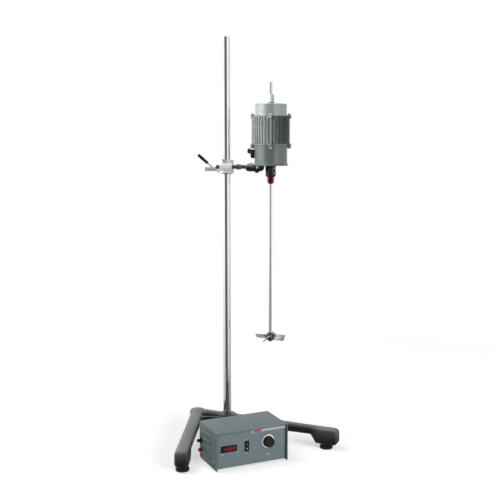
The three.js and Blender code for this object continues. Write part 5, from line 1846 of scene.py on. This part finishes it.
    def fuse(self) -> Shape:
        """The fuse holder's red cap."""
        profile = [
            (0, -12.6), (6, -12.6), (6, 0.3), (7.2, 0.3), (7.2, 1.5), (5.5, 1.8), (5.3, 8), (4.4, 9.3),
            (0, 9.3),
        ]
        flute = block((1.0, 1.0, 6), (5.7, 0, 6.5))
        body = lathe(eased(profile, 0.4), 64).minus(COPIES.set_out(flute, 16, turn=22.5))
        slot = block((7, 1.4, 2.4), (0, 0, 9.4))
        return self.on_side(body.minus(slot), self.fuse_z)

    def build(self) -> None:
        """Makes the controller's pieces."""
        site, body = self.site, "root"
        make_piece(self.cover(), "coated_cover", site, Finishes.CABINET, body, "cabinet_cover")
        make_piece(self.pan(), "coated_pan", site, Finishes.CABINET, body, "cabinet_pan")
        make_piece(self.display(), "display_frame", site, Finishes.WINDOW, body, "display_window")
        lit, unlit = (self.on_panel(shape, self.display_place, 0.5) for shape in self.digits())
        make_piece(lit, "lit_digits", site, Finishes.DIGIT, body)
        make_piece(unlit, "unlit_digits", site, Finishes.UNLIT, body)
        make_piece(self.bezel(), "pale_lamp_bezel", site, Finishes.BEZEL, body, "lamp_bezel")
        make_piece(self.lens(), "red_lamp_lens", site, Finishes.LENS, body, "lamp_lens")
        make_piece(self.switch_frame(), "switch_frame", site, Finishes.PLASTIC, body, "switch_housing")
        make_piece(self.rocker(), "rocker_cap", site, Finishes.GRIP, "rocker", "switch_rocker")
        make_piece(self.rocker_marks(), "rocker_marks", site, Finishes.INK, "rocker")
        make_piece(self.knob(), "fluted_knob", site, Finishes.GRIP, "knob", "speed_knob")
        make_piece(self.pointer(), "knob_pointer", site, Finishes.INK, "knob")
        make_piece(self.dial(), "bright_dial_ring", site, Finishes.DIAL, body, "dial_ring")
        make_piece(self.dial_ticks(), "dial_ticks", site, Finishes.PLASTIC, body)
        make_piece(self.strip(), "pale_strip", site, Finishes.STRIP, body)
        make_piece(self.strip_block(), "red_strip_block", site, Finishes.RED_BLOCK, body)
        make_piece(self.printing(), "panel_printing", site, Finishes.INK, body)
        make_piece(self.screws(), "cover_screws", site, Finishes.CHUCK, body)
        make_piece(self.cable_gland(), "ribbed_mains_gland", site, Finishes.PLASTIC, body, "mains_gland")
        make_piece(self.fuse(), "red_fuse_cap", site, Finishes.FUSE, body, "fuse_holder")
        dress_node("speed_control", Finishes.ZINC)
        dress_node("transformer", Finishes.STACK)
        dress_node("circuit_board", Finishes.BOARD)


# Studio


@dataclass
class Studio:
    """The camera, the floor and the light."""

    axis: Point
    eye: Triple = (-1.0292, -2.434, 0.926)
    heading: float = 24.5
    pitch: float = 7.1
    lens: float = 61.2
    sensor: float = 36.0
    floor_radius: float = 2.2
    floor_shade: float = 0.8
    near_glow: float = 0.5
    far_glow: float = 0.66
    fill: float = 0.46

    def camera(self) -> None:
        """Sets the camera where the photograph was taken from."""
        data = bpy.data.cameras.new("camera")
        data.sensor_width = self.sensor
        data.lens = self.lens
        camera = shown("camera", data)
        camera.location = (self.axis[0] + self.eye[0], self.axis[1] + self.eye[1], self.eye[2])
        camera.rotation_euler = (math.radians(90 - self.pitch), 0, math.radians(-self.heading))
        bpy.context.scene.camera = camera

    def floor(self) -> None:
        """Lays the pale floor, which fades into the white around it."""
        bm = bmesh.new()
        bmesh.ops.create_circle(bm, cap_ends=True, segments=128, radius=self.floor_radius)
        floor = shown("floor", Shape.of(bm, turn_out=False).mesh)
        floor.visible_glossy = False
        material = bpy.data.materials.new("pale floor")
        material.use_nodes = True
        floor.data.materials.append(material)
        self.floor_shader(NodeTree(material.node_tree))

    def floor_shader(self, tree: NodeTree) -> None:
        """Wires the floor: pale and diffuse, it keeps shadows and turns white to its rim.

        Args:
            tree: The floor material's tree.
        """
        tree.tree.nodes.clear()
        path = tree.add("ShaderNodeLightPath").outputs
        seen = tree.math("MAXIMUM", path["Is Camera Ray"], path["Is Glossy Ray"])
        place = tree.add("ShaderNodeTexCoord").outputs["Object"]
        reach = tree.add("ShaderNodeVectorMath", {0: place}, operation="LENGTH").outputs["Value"]
        level = tree.spread(reach, self.near_glow, self.far_glow, 0.35, 0.9)
        rim = tree.spread(reach, 0, 1, self.floor_radius * 0.4, self.floor_radius * 0.85)
        diffuse = tree.add("ShaderNodeBsdfDiffuse", {"Color": (*[self.floor_shade] * 3, 1)})
        glow = tree.add("ShaderNodeEmission", {"Strength": level})
        near = tree.either(seen, diffuse, tree.add("ShaderNodeAddShader", {0: diffuse, 1: glow}))
        white = tree.add("ShaderNodeEmission", {"Strength": 1.0})
        whole = tree.either(tree.math("MULTIPLY", rim, seen), near, white)
        tree.add("ShaderNodeOutputMaterial", {"Surface": whole})

    def world(self) -> None:
        """Makes the white surroundings, with a dark flag behind the camera that bright metal mirrors."""
        world = bpy.data.worlds.new("surroundings")
        world.use_nodes = True
        bpy.context.scene.world = world
        tree = NodeTree(world.node_tree)
        tree.tree.nodes.clear()
        place = tree.add("ShaderNodeTexCoord").outputs["Generated"]
        apart = tree.add("ShaderNodeSeparateXYZ", {0: place}).outputs
        azimuth = tree.spread(tree.math("ARCTAN2", apart["Y"], apart["X"]), 0, 1, -math.pi, math.pi)
        height = tree.spread(apart["Z"], 0.5, 1.12, -0.42, -0.12)
        bands = self.panorama(tree, azimuth, [
            (-180, 1.0), (-166, 1.0), (-160, 0.14), (-95, 0.11), (-90, 1.0), (-62, 1.0), (-50, 0.7),
            (-5, 0.7), (40, 0.65), (70, 1.0), (180, 1.0),
        ])
        shaded = self.panorama(tree, azimuth, [
            (-180, 1.0), (-140, 0.9), (-110, 0.45), (-60, 0.35), (20, 0.35), (80, 0.6), (130, 1.0),
            (180, 1.0),
        ])
        mirrored = tree.add("ShaderNodeBackground", {"Color": bands, "Strength": height})
        fill = tree.add("ShaderNodeBackground", {"Color": shaded, "Strength": self.fill})
        white = tree.add("ShaderNodeBackground", {"Color": (1, 1, 1, 1), "Strength": 1.0})
        path = tree.add("ShaderNodeLightPath").outputs
        glossy = tree.either(path["Is Glossy Ray"], fill, mirrored)
        straight = tree.math("MAXIMUM", path["Is Camera Ray"], path["Is Transmission Ray"])
        tree.add("ShaderNodeOutputWorld", {"Surface": tree.either(straight, glossy, white)})

    def panorama(self, tree: NodeTree, azimuth: Socket, stops: list[Point]) -> Node:
        """Makes a ramp of grey levels round the horizon.

        Args:
            tree: The world's tree.
            azimuth: The direction's azimuth, from 0 to 1.
            stops: Azimuths in degrees, from -180 to 180, each with its level.

        Returns:
            The ramp.
        """
        ramp = tree.add("ShaderNodeValToRGB", {"Fac": azimuth})
        elements = ramp.color_ramp.elements
        while len(elements) < len(stops):
            elements.new(0.5)
        for element, (degrees, level) in zip(elements, stops):
            element.position = (degrees + 180) / 360
            element.color = (level, level, level, 1)
        return ramp

    def lamp(self, name: str, place: Triple, aim: Triple, size: float, power: float, spread: float = 180.0
             ) -> None:
        """Hangs a soft square lamp that bright metal doesn't mirror.

        Args:
            name: The lamp's name.
            place: Where it hangs, from the column's axis on the floor.
            aim: What it points at, from there too.
            size: Its side.
            power: Its power in watts.
            spread: The angle of its grid, in degrees.
        """
        data = bpy.data.lights.new(name, "AREA")
        data.size = size
        data.energy = power
        data.spread = math.radians(spread)
        lamp = shown(name, data)
        lamp.visible_glossy = False
        lamp.location = Vector(place) + Vector((*self.axis, 0))
        lamp.rotation_euler = (Vector(aim) - Vector(place)).to_track_quat("-Z", "Y").to_euler()

    def build(self) -> None:
        """Makes the studio."""
        self.camera()
        self.floor()
        self.world()
        self.lamp("overhead softbox", (-1.2, 0.5, 2.7), (0, -0.1, 0.1), 1.4, 20)
        self.lamp("left softbox", (-2.6, 0.1, 1.3), (0.1, -0.1, 0.98), 1.0, 2.8, 32)
        self.lamp("front softbox", (0.6, -2.8, 1.2), (0, -0.3, 0.08), 1.0, 3.7, 44)
        bpy.context.scene.view_settings.view_transform = "Standard"


def centre(node: str) -> Vector:
    """The middle of a CAD node's box, in metres."""
    low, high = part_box(node)
    return (Vector(low) + Vector(high)) / 2


def main() -> None:
    """Builds every sub-assembly in order."""
    logging.basicConfig(level=logging.INFO, format="%(message)s")
    column, spindle, cabinet = centre("column"), centre("stirrer_rod"), centre("cabinet_cover")
    arm_site = Site((column.x, column.y, centre("arm_rod").z), ARM_TURN)
    motor_site = Site((spindle.x, spindle.y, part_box("lower_bell")[0][2]), ARM_TURN)
    rod_site = Site((spindle.x, spindle.y, 0.0), ARM_TURN)
    parts = [
        Studio((column.x, column.y)),
        Stand(Site((column.x, column.y, 0.0))),
        BossHead(arm_site),
        Motor(motor_site, arm_site),
        Spindle(motor_site, rod_site),
        Controller(Site((cabinet.x, cabinet.y, 0.0))),
    ]
    for part in parts:
        LOG.info("building %s", type(part).__name__)
        part.build()


if __name__ == "__main__":
    main()
